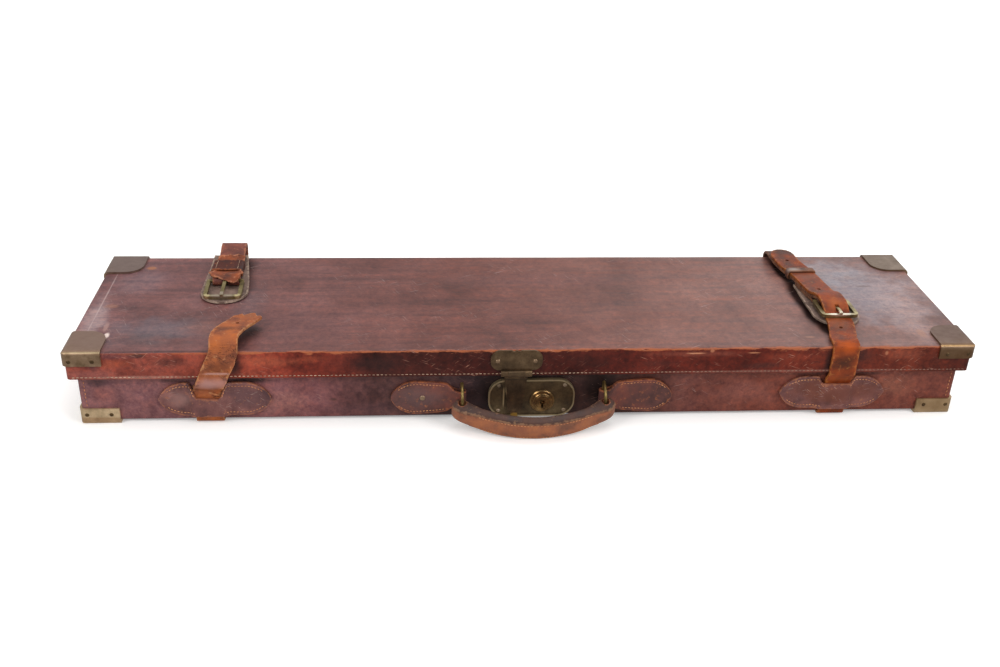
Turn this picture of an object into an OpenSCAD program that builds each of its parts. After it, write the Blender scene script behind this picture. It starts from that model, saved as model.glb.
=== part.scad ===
// Long, shallow travelling case: oak boards covered in leather, with a hinged
// lid that closes over the base, brass corners, a front lock with a hasp, a
// leather handle on two rings and two straps that run round the case.
// Millimetres. X runs along the case, Y from front to rear, Z up from the floor.

/* [Case body] */
// Length of the base over its leather
base_len = 812; // [760:1:900]
// Depth of the base over its leather, front to rear
base_dep = 197; // [190:1:230]
// Height of the seam between base and lid
seam_z = 49; // [49:0.5:60]
// Thickness of the leather covering
leather_t = 2; // [1.6:0.1:2.4]
// Thickness of the base's side boards
wall_t = 6; // [6:0.5:8]
// Thickness of the bottom board
floor_t = 5; // [4:0.5:7]
// Thickness of the cloth lining
lining_t = 1; // [0.8:0.1:1.5]
// Height of the base's rim that stands up inside the lid
rim_rise = 13; // [10:0.5:15]
// Radius of the upright leather corners
corner_r = 4; // [3:0.5:6]
// Radius of the long leather edges
edge_r = 2.5; // [2:0.25:3]

/* [Lid] */
// Height of the lid from its lower edge to the leather on top
lid_h = 26.7; // [26:0.1:32]
// Thickness of the lid's boards
lid_board = 4; // [4:0.5:6]
// Gap all round between the base's rim and the lid
lid_gap = 0.6; // [0.5:0.1:1.2]
// Gap between the closed lid and the rear wall
seam_gap = 0.3; // [0.2:0.05:0.5]

/* [Inside] */
// Width of the long bay along the front
front_bay = 62; // [50:1:75]
// Thickness of the cloth-covered dividers
divider_t = 5; // [4:0.5:8]
// Height of the dividers' top edge above the floor
divider_top = 58; // [50:1:60]
// Place of the first cross divider
cross_1_x = 82; // [20:1:140]
// Place of the second cross divider
cross_2_x = 302; // [240:1:340]

/* [Brass corners] */
// Thickness of the corner brass
brass_t = 2; // [1.2:0.1:2.5]
// Width of a lid corner along the front
lid_corner_w = 34.5; // [28:0.5:42]
// Reach of a lid corner along the end
lid_corner_d = 40; // [32:0.5:48]
// Height of a lid corner's flanges
lid_corner_h = 14.4; // [12:0.2:18]
// Radius of the inner corner of the plate on top
lid_corner_r = 17; // [8:0.5:24]
// Width of a base corner along front and end
base_corner_w = 36; // [28:0.5:42]
// Height of a base corner
base_corner_h = 15.7; // [13:0.1:20]
// Radius of a nail head
nail_r = 1.9; // [1.4:0.1:2.4]
// Height of a nail head
nail_h = 0.8; // [0.5:0.1:1.2]

/* [Rear hinges] */
// Length of each hinge
hinge_len = 50; // [40:1:70]
// Distance of the outer hinges from the middle one
hinge_pitch = 210; // [150:1:260]
// Thickness of a hinge leaf
leaf_t = 1.5; // [1.2:0.1:2]
// Radius of the knuckles
knuckle_r = 3; // [2.6:0.1:3.5]
// Radius of the hinge pins
hinge_pin_r = 1.5; // [1.2:0.1:1.7]
// Radial clearance of every pin in its bore
pin_gap = 0.05; // [0.03:0.01:0.09]

/* [Lock] */
// Place of the lock plate's middle along the case
lock_x = 1.5; // [-20:0.5:20]
// Height of the lock plate's middle
lock_z = 23.4; // [22.5:0.1:24]
// Length of the lock plate
lock_w = 80; // [76:1:90]
// Height of the lock plate
lock_h = 38.6; // [36:0.2:40]
// Radius of the lock plate's corners
lock_r = 16; // [10:0.5:18]
// Depth of the lock plate
lock_t = 3.6; // [3.4:0.1:4.5]
// Height of the raised border
border_h = 0.7; // [0.4:0.1:1.2]
// Width of the raised border
border_w = 1.8; // [1.2:0.1:2.5]
// Radius of the key boss
boss_r = 11.5; // [10:0.1:12]
// Distance of the key boss to the right of the plate's middle
boss_dx = 9.8; // [8:0.1:13]
// Distance of the key boss below the plate's middle
boss_dz = 2.9; // [0:0.1:4]
// Travel of the bolt
bolt_travel = 6; // [4:0.5:7]

/* [Hasp] */
// Place of the hasp along the case
hasp_x = -14; // [-16:0.5:-12]
// Width of the plate on the lid
hasp_plate_w = 47; // [40:0.5:52]
// Height of the hasp's pin
hasp_z = 53; // [52.5:0.1:54]
// Thickness of the hasp
hasp_t = 1.5; // [1.2:0.1:1.6]
// Length of the hasp's barrel
barrel_len = 28; // [24:0.5:32]
// Width of the tongue at its top
tongue_top = 21.5; // [18:0.5:24]
// Width of the tongue at its foot
tongue_foot = 13; // [10:0.5:16]
// Height of the tongue's foot above the floor
tongue_z = 10; // [9:0.2:12]

/* [Handle] */
// Place of the handle's middle along the case
handle_x = 2.5; // [-10:0.5:12]
// Height of the handle's axis
ring_z = 24.5; // [23.5:0.1:26]
// Distance between the two rings
ring_span = 131; // [126:1:140]
// Radius of a ring's bow
ring_r = 15; // [14:0.1:16]
// Radius of the ring wire
ring_wire = 1.6; // [1.3:0.1:1.8]
// Distance of the ring's bar in front of the base
ring_out = 4.2; // [4.2:0.1:5.5]
// Reach of the grip from its axis
grip_reach = 40; // [36:0.5:44]
// Thickness of the grip
grip_t = 8.6; // [7.5:0.1:10]
// Width of the grip
grip_w = 23; // [20:0.5:25]
// Radius of the grip's edges
grip_edge = 3; // [2:0.1:3.5]
// Radius of the grip's ends round the rings
grip_end = 8.4; // [7.6:0.1:8.8]
// Height of the patches that hold the rings
chape_h = 34; // [30:0.5:36]
// Length of the patches that hold the rings
chape_len = 64.8; // [58:0.2:72]
// Thickness of the patches that hold the rings
chape_t = 3.5; // [2.8:0.1:4]

/* [Straps] */
// Width of the straps
strap_w = 25; // [22:0.5:26]
// Thickness of the straps
strap_t = 2.6; // [2.2:0.1:2.8]
// Place of the left strap along the case
left_x = -292; // [-330:1:-250]
// Place of the right strap along the case
right_x = 289; // [250:1:330]
// Length of a loop patch
loop_len = 101; // [90:1:115]
// Height of a loop patch
loop_h = 34; // [30:0.5:36]
// Thickness of a loop patch
loop_t = 2.2; // [1.8:0.1:2.6]
// Height of a loop patch's middle
loop_z = 25; // [23.5:0.1:26]
// Clearance of soft leather beside what moves past it
soft_gap = 0.3; // [0.3:0.05:0.4]
// Lean of the loose left strap to the right
lean = 24; // [18:1:28]

/* [Buckles] */
// Width of a buckle frame
frame_w = 36; // [35:0.5:40]
// Thickness of a buckle frame's side bars
frame_bar = 3.6; // [3:0.1:4]
// Distance between the heel bar and the front bar
frame_reach = 30.4; // [28:0.2:34]
// Radius of the heel bar
heel_r = 1.8; // [1.5:0.1:2]
// Thickness of the leather pad under a buckle
safe_t = 2.4; // [2:0.1:2.8]
// Width of the leather pad under a buckle
safe_w = 45; // [42:0.5:50]
// Distance of the left buckle's heel bar from the lid's front
left_heel_v = 131; // [126:1:135]
// Distance of the right buckle's heel bar from the lid's front
right_heel_v = 80; // [76:1:84]

/* [Hidden] */
$fn = 72;
lid_wall = leather_t + lid_board;
lid_over = lid_wall + lid_gap;
rim_z = seam_z + rim_rise;
lid_z0 = seam_z + seam_gap;
lid_top = lid_z0 + lid_h;
under_z = strap_t;
hinge_axis_z = seam_z + seam_gap / 2;
hinge_out = knuckle_r + 0.2;
grip_core = grip_reach - grip_edge;
grip_half = grip_w / 2 - grip_edge;
droop = asin((ring_z - grip_edge - 0.2) / norm([grip_core, grip_half])) - atan(grip_half / grip_core);
front_reach = ring_out + grip_core * cos(droop) + grip_half * sin(droop) + grip_edge;
rear_reach = hinge_out + knuckle_r;
fy = (front_reach - rear_reach - base_dep) / 2;
ry = fy + base_dep;
lfy = fy - lid_over;
half = base_len / 2;
lid_half = half + lid_over;
inner_half = half - leather_t - wall_t;
inner_fy = fy + leather_t + wall_t;
inner_ry = ry - leather_t - wall_t;
board_z = under_z + leather_t;
tray_z = board_z + floor_t;
lining_front = inner_fy + lining_t;
lining_rear = inner_ry - lining_t;
lining_half = inner_half - lining_t;
lining_z = tray_z + lining_t;
lining_top = rim_z - 0.5;
long_y = lining_front + front_bay;
boss_x = lock_x + boss_dx;
boss_z = lock_z - boss_dz;
lock_front = fy - lock_t;
bolt_z = boss_z + 0.5;
hasp_r = 3;
hasp_y = lfy - hasp_r - 0.2;
hasp_pin_r = 1.2;
tongue_back = lock_front - border_h - 0.3;
ring_y = fy - ring_out;
strap_mid = strap_t / 2;
bulge = strap_t + soft_gap;
lid_axis_y = ry + hinge_out;
curl_y = ry + strap_mid;
curl_z = lid_top + strap_mid + soft_gap;
safe_top = lid_top + safe_t;
fold_r = heel_r + 0.08 + strap_t;
right_heel_z = safe_top + fold_r;
left_heel_z = safe_top + soft_gap + fold_r;
left_tilt = asin((fold_r - frame_bar / 2 - 0.2) / frame_reach);
right_cx = right_x + 11.5;
left_cx = left_x + 3;
mouth = [left_x - 1.4, 32];
mouth_z = 35.3;

leather_c = [0.42, 0.20, 0.17];
leather_dark = [0.34, 0.19, 0.19];
strap_c = [0.62, 0.32, 0.16];
brass_c = [0.50, 0.44, 0.32];
bronze_c = [0.31, 0.26, 0.20];
oak_c = [0.66, 0.50, 0.32];
cloth_c = [0.42, 0.10, 0.12];
steel_c = [0.45, 0.45, 0.46];

// Which sub-part to draw, or all of them

// Box between two opposite corners
module slab(x0, x1, y0, y1, z0, z1) {
    translate([x0, y0, z0]) cube([x1 - x0, y1 - y0, z1 - z0]);
}

// Flat rectangle with four round corners, centred
module round_rect(w, h, r) {
    square([w - 2 * r, h], center = true);
    square([w, h - 2 * r], center = true);
    for (sx = [-1, 1], sy = [-1, 1]) {
        translate([sx * (w / 2 - r), sy * (h / 2 - r)]) circle(r);
    }
}

// Flat rectangle standing on its lower edge, with its two upper corners round
module top_rect(w, h, r) {
    translate([-w / 2, 0]) square([w, h - r]);
    translate([-w / 2 + r, h / 2]) square([w - 2 * r, h / 2]);
    for (s = [-1, 1]) {
        translate([s * (w / 2 - r), h - r]) circle(r);
    }
}

// Closed block with round upright corners and a round upper edge all round
module round_block(hx, y0, y1, z0, z1, rv, rt) {
    intersection() {
        translate([0, (y0 + y1) / 2, z0]) linear_extrude(z1 - z0) round_rect(2 * hx, y1 - y0, rv);
        translate([0, y1, z0]) rotate([90, 0, 0]) linear_extrude(y1 - y0) top_rect(2 * hx, z1 - z0, rt);
        translate([-hx, (y0 + y1) / 2, z0]) rotate([90, 0, 90]) linear_extrude(2 * hx) top_rect(y1 - y0, z1 - z0, rt);
    }
}

// The lid's outer form, grown by g for the brass that wraps it
module lid_block(g) {
    round_block(lid_half + g, lfy - g, ry + g, lid_z0, lid_top + g, corner_r + g, edge_r + g);
}

// The base's outer form below the seam, grown by g at the sides and down to z0
module base_block(g, z0) {
    translate([0, 0, seam_z + z0]) mirror([0, 0, 1])
        round_block(half + g, fy - g, ry + g, z0, seam_z, corner_r + g, edge_r);
}

// Draws its children at one of the four corners, with X and Y running inward
module at_corner(hx, y0, y1, right, rear) {
    translate([right ? hx : -hx, rear ? y1 : y0, 0])
        mirror([right ? 1 : 0, 0, 0])
        mirror([0, rear ? 1 : 0, 0]) children();
}

// Domed nail lying along -Y, its head seated on Y = 0
module nail(r, h, shank) {
    dome_r = (r * r + h * h) / (2 * h);
    rotate([90, 0, 0]) {
        rotate_extrude() intersection() {
            translate([0, h - dome_r]) circle(dome_r);
            square([r, h]);
        }
        translate([0, 0, -shank]) cylinder(h = shank + h / 4, r = r * 0.45);
    }
}

// Path helpers for bent leather: points are [y or x, height]
function seg_normal(a, b) = let (d = b - a) [-d[1], d[0]] / norm(d);
function point_normal(p, i) =
    i == 0 ? seg_normal(p[0], p[1]) :
    i == len(p) - 1 ? seg_normal(p[i - 1], p[i]) :
    let (m = seg_normal(p[i - 1], p[i]) + seg_normal(p[i], p[i + 1])) m * 2 / (m * m);
function between(a, b, c, d, u) =
    0.5 * (2 * b + (c - a) * u + (2 * a - 5 * b + 4 * c - d) * u * u + (3 * b - a - 3 * c + d) * u * u * u);
function curve(p, k = 3) = concat(
    [for (i = [0:len(p) - 2], j = [0:k - 1])
        between(p[max(i - 1, 0)], p[i], p[i + 1], p[min(i + 2, len(p) - 1)], j / k)],
    [p[len(p) - 1]]);

// Band along a path, between two offsets on its left side
module band(p, a, b) {
    polygon(concat(
        [for (i = [0:len(p) - 1]) p[i] + a * point_normal(p, i)],
        [for (i = [len(p) - 1:-1:0]) p[i] + b * point_normal(p, i)]));
}

// Extrudes a side profile drawn in Y and Z along X
module side(x0, x1) {
    translate([x0, 0, 0]) rotate([90, 0, 90]) linear_extrude(x1 - x0) children();
}

// Extrudes a front profile drawn in X and Z along Y
module front(y0, y1) {
    translate([0, y1, 0]) rotate([90, 0, 0]) linear_extrude(y1 - y0) children();
}

// Extrudes a plan profile drawn in X and Y along Z
module plan(z0, z1) {
    translate([0, 0, z0]) linear_extrude(z1 - z0) children();
}

// Oak boards of the base

module base_bottom_board() color(oak_c)
    slab(-inner_half, inner_half, inner_fy, inner_ry, board_z, tray_z);

module base_front_board() color(oak_c) difference() {
    slab(-half + leather_t, half - leather_t, fy + leather_t, inner_fy, board_z, rim_z);
    lock_case_space();
}

module base_rear_board() color(oak_c) difference() {
    slab(-half + leather_t, half - leather_t, inner_ry, ry - leather_t, board_z, seam_z);
    base_leaf_space();
}

module base_end_boards() color(oak_c)
    for (s = [0, 1]) {
        mirror([s, 0, 0]) slab(inner_half, half - leather_t, inner_fy, inner_ry, board_z, rim_z);
    }

// Leather over the outside of the base and its rim
module base_leather() color(leather_dark) difference() {
    union() {
        base_block(0, under_z);
        slab(-half, half, fy + corner_r, inner_ry, seam_z - 1, rim_z);
        slab(-half + corner_r, half - corner_r, fy, fy + corner_r + 1, seam_z - 1, rim_z);
        for (s = [-1, 1]) {
            translate([s * (half - corner_r), fy + corner_r, seam_z - 1]) cylinder(h = rim_z - seam_z + 1, r = corner_r);
        }
    }
    slab(-half + leather_t, half - leather_t, fy + leather_t, ry - leather_t, board_z, rim_z + 1);
    lock_case_space();
    base_leaf_space();
}

module base_lining() color(cloth_c) difference() {
    union() {
        slab(-inner_half, inner_half, inner_fy, inner_ry, tray_z, seam_z - 0.5);
        slab(-inner_half, inner_half, inner_fy, inner_ry - 2, seam_z - 1, lining_top);
    }
    slab(-lining_half, lining_half, lining_front, lining_rear, lining_z, lining_top + 1);
}

module long_divider() color(cloth_c)
    slab(-lining_half, lining_half, long_y, long_y + divider_t, lining_z, divider_top);

module cross_dividers() color(cloth_c)
    for (x = [cross_1_x, cross_2_x]) {
        slab(x, x + divider_t, long_y + divider_t, lining_rear, lining_z, divider_top);
    }

// Boards and leather of the lid

module lid_top_board() color(oak_c)
    slab(-lid_half + leather_t, lid_half - leather_t, lfy + leather_t, ry - leather_t,
        lid_top - leather_t - lid_board, lid_top - leather_t);

module lid_front_board() color(oak_c)
    slab(-lid_half + leather_t, lid_half - leather_t, lfy + leather_t, lfy + lid_wall,
        lid_z0, lid_top - lid_wall);

module lid_rear_board() color(oak_c) difference() {
    slab(-lid_half + leather_t, lid_half - leather_t, ry - lid_wall, ry - leather_t,
        lid_z0, lid_top - lid_wall);
    lid_leaf_space();
}

module lid_end_boards() color(oak_c)
    for (s = [0, 1]) {
        mirror([s, 0, 0]) slab(lid_half - lid_wall, lid_half - leather_t, lfy + lid_wall, ry - lid_wall,
            lid_z0, lid_top - lid_wall);
    }

module lid_leather() color(leather_c) difference() {
    lid_block(0);
    slab(-lid_half + leather_t, lid_half - leather_t, lfy + leather_t, ry - leather_t,
        lid_z0 - 1, lid_top - leather_t);
    lid_leaf_space();
}

module lid_lining() color(cloth_c)
    slab(-lid_half + lid_wall, lid_half - lid_wall, lfy + lid_wall, ry - lid_wall,
        lid_top - lid_wall - lining_t, lid_top - lid_wall);

// Brass corners: a thin shell round the leather, cut to shape

module corner_outline(w, d, r) {
    translate([-5, -5]) square([w + 5, d - r + 5]);
    translate([-5, -5]) square([w - r + 5, d + 5]);
    translate([w - r, d - r]) circle(r);
}

module corner_nail_places(w, d, z, shank) {
    for (u = [7, w - 7.5]) {
        translate([u, 0, z]) nail(nail_r, nail_h, shank);
    }
    for (u = [8, d - 8]) {
        translate([0, u, z]) rotate([0, 0, -90]) nail(nail_r, nail_h, shank);
    }
}

module corner_nail_holes(w, d, z) {
    for (u = [7, w - 7.5]) {
        translate([u, -1, z]) rotate([-90, 0, 0]) cylinder(h = brass_t + 1.1, r = nail_r * 0.45 + 0.02);
    }
    for (u = [8, d - 8]) {
        translate([-1, u, z]) rotate([0, 90, 0]) cylinder(h = brass_t + 1.1, r = nail_r * 0.45 + 0.02);
    }
}

module lid_corner(right, rear) color(brass_c) {
    w = rear ? lid_corner_w + 2.5 : lid_corner_w;
    d = rear ? lid_corner_d + 2 : lid_corner_d;
    difference() {
        intersection() {
            lid_block(brass_t);
            at_corner(lid_half + brass_t, lfy - brass_t, ry + brass_t, right, rear)
                plan(lid_top + brass_t - lid_corner_h, lid_top + brass_t + 1) corner_outline(w, d, lid_corner_r);
        }
        lid_block(0);
        at_corner(lid_half + brass_t, lfy - brass_t, ry + brass_t, right, rear)
            corner_nail_holes(w, d, lid_top + brass_t - lid_corner_h + 4.6);
    }
}

module base_corner(right, rear) color(brass_c) difference() {
    intersection() {
        base_block(brass_t, 0);
        at_corner(half + brass_t, fy - brass_t, ry + brass_t, right, rear)
            plan(-1, base_corner_h) corner_outline(base_corner_w, base_corner_w, lid_corner_r);
    }
    base_block(0, under_z);
    at_corner(half + brass_t, fy - brass_t, ry + brass_t, right, rear)
        corner_nail_holes(base_corner_w, base_corner_w, base_corner_h - 6);
}

module lid_corner_front_left() lid_corner(false, false);
module lid_corner_front_right() lid_corner(true, false);
module lid_corner_rear_left() lid_corner(false, true);
module lid_corner_rear_right() lid_corner(true, true);
module base_corner_front_left() base_corner(false, false);
module base_corner_front_right() base_corner(true, false);
module base_corner_rear_left() base_corner(false, true);
module base_corner_rear_right() base_corner(true, true);

module lid_corner_nails() color(brass_c)
    for (right = [false, true], rear = [false, true]) {
        at_corner(lid_half + brass_t, lfy - brass_t, ry + brass_t, right, rear)
            corner_nail_places(rear ? lid_corner_w + 2.5 : lid_corner_w, rear ? lid_corner_d + 2 : lid_corner_d,
                lid_top + brass_t - lid_corner_h + 4.6, brass_t);
    }

module base_corner_nails() color(brass_c)
    for (right = [false, true], rear = [false, true]) {
        at_corner(half + brass_t, fy - brass_t, ry + brass_t, right, rear)
            corner_nail_places(base_corner_w, base_corner_w, base_corner_h - 6, brass_t);
    }

// Three butt hinges between the rear walls

hinge_step = hinge_len / 5;

module at_hinges() {
    for (x = [-hinge_pitch, 0, hinge_pitch]) {
        translate([x - hinge_len / 2, 0, 0]) children();
    }
}

module base_leaf_space() {
    at_hinges() slab(0, hinge_len, ry - leather_t - wall_t, ry + 1, seam_z - leaf_t, seam_z + 1);
}

module lid_leaf_space() {
    at_hinges() slab(0, hinge_len, ry - lid_wall, ry + 1, lid_z0 - 1, lid_z0 + leaf_t);
}

module knuckles(first) {
    for (i = [first:2:4]) {
        translate([i * hinge_step + 0.1, lid_axis_y, hinge_axis_z]) rotate([0, 90, 0])
            cylinder(h = hinge_step - 0.2, r = knuckle_r);
    }
}

module hinge_bore() {
    translate([-1, lid_axis_y, hinge_axis_z]) rotate([0, 90, 0])
        cylinder(h = hinge_len + 2, r = hinge_pin_r + pin_gap);
}

module base_hinge_leaves() color(brass_c) at_hinges() difference() {
    union() {
        slab(0, hinge_len, ry - leather_t - wall_t, ry - 0.2, seam_z - leaf_t, seam_z);
        for (i = [0, 2, 4]) {
            slab(i * hinge_step + 0.1, (i + 1) * hinge_step - 0.1, ry - 1, lid_axis_y, seam_z - leaf_t, seam_z);
        }
        knuckles(0);
    }
    hinge_bore();
}

module lid_hinge_leaves() color(brass_c) at_hinges() difference() {
    union() {
        slab(0, hinge_len, ry - lid_wall, ry - 0.2, lid_z0, lid_z0 + leaf_t);
        for (i = [1, 3]) {
            slab(i * hinge_step + 0.1, (i + 1) * hinge_step - 0.1, ry - 1, lid_axis_y, lid_z0, lid_z0 + leaf_t);
        }
        knuckles(1);
    }
    hinge_bore();
}

module hinge_pins() color(steel_c) at_hinges()
    translate([0.2, lid_axis_y, hinge_axis_z]) rotate([0, 90, 0]) cylinder(h = hinge_len - 0.4, r = hinge_pin_r);

// Lock on the front of the base. The bolt slides behind the plate.

module lock_case_space() {
    slab(lock_x - 17.5, lock_x + 26.5, fy - 1, fy + leather_t + 5, bolt_z - 8.5, bolt_z + 9);
}

module lock_outline(inset) {
    translate([lock_x, lock_z]) round_rect(lock_w - 2 * inset, lock_h - 2 * inset, lock_r - inset);
}

module lock_plate() color(bronze_c) difference() {
    front(lock_front - border_h, fy) lock_outline(0);
    front(lock_front - border_h - 1, lock_front) lock_outline(border_w);
    slab(lock_x - 21, boss_x + 8, lock_front + 0.8, fy + 1, bolt_z - 5.2, bolt_z + 5.2);
    slab(hasp_x - 1.8, hasp_x + 1.8, lock_front - border_h - 1, fy + 1, bolt_z - 5.8, lock_z + lock_h);
    translate([boss_x, lock_front - 1, boss_z]) rotate([-90, 0, 0]) cylinder(h = 3, r = 3);
    lock_nail_places() rotate([-90, 0, 0]) translate([0, 0, -1]) cylinder(h = lock_t + 2, r = 0.84);
}

module lock_nail_places() {
    for (sx = [-1, 1], sz = [-1, 1]) {
        translate([lock_x + sx * (lock_w / 2 - 9.5), lock_front, lock_z + sz * (lock_h / 2 - 6)]) children();
    }
}

module lock_nails() color(brass_c) lock_nail_places() nail(1.8, 0.7, lock_t);

// Stepped boss with a keyhole and its pin
module key_boss() color(brass_c) translate([boss_x, lock_front, boss_z]) {
    difference() {
        rotate([90, 0, 0]) rotate_extrude() difference() {
            polygon([[0, 0], [boss_r, 0], [boss_r, 1.2], [boss_r - 0.8, 2], [9, 2], [8.8, 3], [8.3, 3.5],
                [6.9, 3.5], [6.6, 4.1], [0, 4.1]]);
            translate([7.6, 3.8]) circle(0.5);
        }
        translate([0, -5, 0]) rotate([-90, 0, 0]) cylinder(h = 4.2, r = 2.3);
        slab(-0.9, 0.9, -5, -0.8, -5.6, 0);
    }
    translate([0, -3.4, 0]) rotate([-90, 0, 0]) cylinder(h = 2.8, r = 0.8);
}

module lock_case() color(steel_c) difference() {
    slab(lock_x - 17.5, lock_x + 26.5, fy, fy + leather_t + 5, bolt_z - 8.5, bolt_z + 9);
    slab(boss_x - 8 - bolt_travel, boss_x + 9, fy - 1, fy + 4, bolt_z - 2.5, bolt_z + 2.5);
}

// Bolt drawn back: it slides to the left through the staple's eye
module lock_bolt() color(steel_c) {
    slab(hasp_x + 1.9, boss_x, fy - 2.5, fy - 1.3, bolt_z - 2, bolt_z + 2);
    slab(boss_x - 7, boss_x + 8, fy - 2.5, fy + 3.9, bolt_z - 2.42, bolt_z + 2.42);
}

// Hasp: plate and outer knuckles on the lid, tongue with the middle knuckle

module hasp_plate() color(bronze_c) difference() {
    union() {
        front(lfy - hasp_t, lfy) difference() {
            translate([hasp_x, lid_top - 10.4]) round_rect(hasp_plate_w, 20.2, 8.5);
            for (s = [-1, 1]) {
                translate([hasp_x + s * 2.4, lid_top + 0.9]) circle(2.2);
            }
        }
        for (s = [-1, 1]) {
            slab(hasp_x + (s < 0 ? -barrel_len / 2 : 7.45), hasp_x + (s < 0 ? -7.45 : barrel_len / 2),
                lfy - hasp_t, lfy, hasp_z, lid_top - 18);
            translate([hasp_x + (s < 0 ? -barrel_len / 2 : 7.45), hasp_y, hasp_z]) rotate([0, 90, 0])
                cylinder(h = barrel_len / 2 - 7.45, r = hasp_r);
        }
    }
    hasp_rivet_places() rotate([-90, 0, 0]) translate([0, 0, -1]) cylinder(h = hasp_t + 2, r = 0.97);
    translate([hasp_x - barrel_len / 2 - 1, hasp_y, hasp_z]) rotate([0, 90, 0])
        cylinder(h = barrel_len + 2, r = hasp_pin_r + pin_gap);
}

module hasp_rivet_places() {
    for (s = [-1, 1]) {
        translate([hasp_x + s * 17, lfy - hasp_t, lid_top - 11.4]) children();
    }
}

module hasp_rivets() color(brass_c) hasp_rivet_places() nail(2.1, 0.9, hasp_t);

module hasp_pin() color(steel_c)
    translate([hasp_x - barrel_len / 2, hasp_y, hasp_z]) rotate([0, 90, 0])
        cylinder(h = barrel_len, r = hasp_pin_r);

module hasp() color(bronze_c) difference() {
    union() {
        translate([hasp_x - 7.3, hasp_y, hasp_z]) rotate([0, 90, 0]) cylinder(h = 14.6, r = hasp_r);
        intersection() {
            side(hasp_x - 12, hasp_x + 12) polygon([
                [lfy - 0.4, hasp_z], [lfy - 0.4, seam_z - 1.4], [tongue_back, seam_z - 4.6],
                [tongue_back, tongue_z], [tongue_back - hasp_t, tongue_z],
                [tongue_back - hasp_t, seam_z - 5], [lfy - 0.4 - hasp_t, seam_z - 1.9], [lfy - 0.4 - hasp_t, hasp_z]]);
            front(fy - 20, fy) union() {
                translate([hasp_x - 7.3, seam_z - 1]) square([14.6, 8]);
                polygon([[hasp_x - tongue_top / 2, seam_z + 0.4], [hasp_x + tongue_top / 2, seam_z + 0.4],
                    [hasp_x + tongue_foot / 2, tongue_z + 2], [hasp_x + tongue_foot / 2 - 2, tongue_z],
                    [hasp_x - tongue_foot / 2 + 2, tongue_z], [hasp_x - tongue_foot / 2, tongue_z + 2]]);
            }
        }
        side(hasp_x - 4, hasp_x + 2.5) polygon([
            [tongue_back, tongue_z + 0.6], [tongue_back - hasp_t, tongue_z + 0.6], [tongue_back - hasp_t - 2, tongue_z - 4],
            [tongue_back - hasp_t - 1, tongue_z - 5], [tongue_back, tongue_z - 4.4]]);
    }
    translate([hasp_x - 8, hasp_y, hasp_z]) rotate([0, 90, 0]) cylinder(h = 16, r = hasp_pin_r + pin_gap);
}

// Eye behind the tongue that the bolt passes through
module hasp_staple() color(steel_c) difference() {
    slab(hasp_x - 1.2, hasp_x + 1.2, tongue_back, fy - 0.5, bolt_z - 4.6, bolt_z + 4.6);
    slab(hasp_x - 2, hasp_x + 2, fy - 2.7, fy - 1.1, bolt_z - 2.3, bolt_z + 2.3);
}

// Handle: a leather patch folded round each ring's bar, and the grip on both bows

module chape_outline() {
    hw = chape_h / 2;
    u1 = chape_len - 22.8;
    c = (22.8 * 22.8 - hw * hw) / (2 * hw);
    polygon([[0, -9.5], [7, -9.5], [13, -hw + 2.5], [u1, -hw], [u1, hw], [13, hw - 2.5], [7, 9.5], [0, 9.5]]);
    intersection() {
        translate([u1, -c]) circle(hw + c);
        translate([u1, c]) circle(hw + c);
        translate([u1 - 1, -hw]) square([40, 2 * hw]);
    }
}

module handle_chape(right) color(leather_dark)
    translate([handle_x + (right ? 1 : -1) * ring_span / 2, 0, ring_z]) mirror([right ? 0 : 1, 0, 0])
    difference() {
        union() {
            front(fy - chape_t, fy) chape_outline();
            translate([0, ring_y, -7.6]) cylinder(h = 15.2, r = ring_out);
        }
        translate([0, ring_y, -12]) cylinder(h = 24, r = ring_wire + 0.03);
    }

module handle_chape_left() handle_chape(false);
module handle_chape_right() handle_chape(true);

module handle_ring(right) color(brass_c)
    translate([handle_x + (right ? 1 : -1) * ring_span / 2, ring_y, ring_z]) {
        translate([0, 0, -ring_r]) cylinder(h = 2 * ring_r, r = ring_wire);
        rotate([0, 0, 180]) rotate([0, 90, 0]) rotate_extrude_half(ring_r, ring_wire - 0.1);
        for (s = [-1, 1]) {
            translate([0, 0, s * ring_r]) sphere(ring_wire + 0.1);
        }
    }

// Half ring on the positive Y side of the local Z axis
module rotate_extrude_half(r, wire) {
    rotate_extrude(angle = 180) translate([r, 0]) circle(wire);
}

module handle_ring_left() handle_ring(false);
module handle_ring_right() handle_ring(true);

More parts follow.
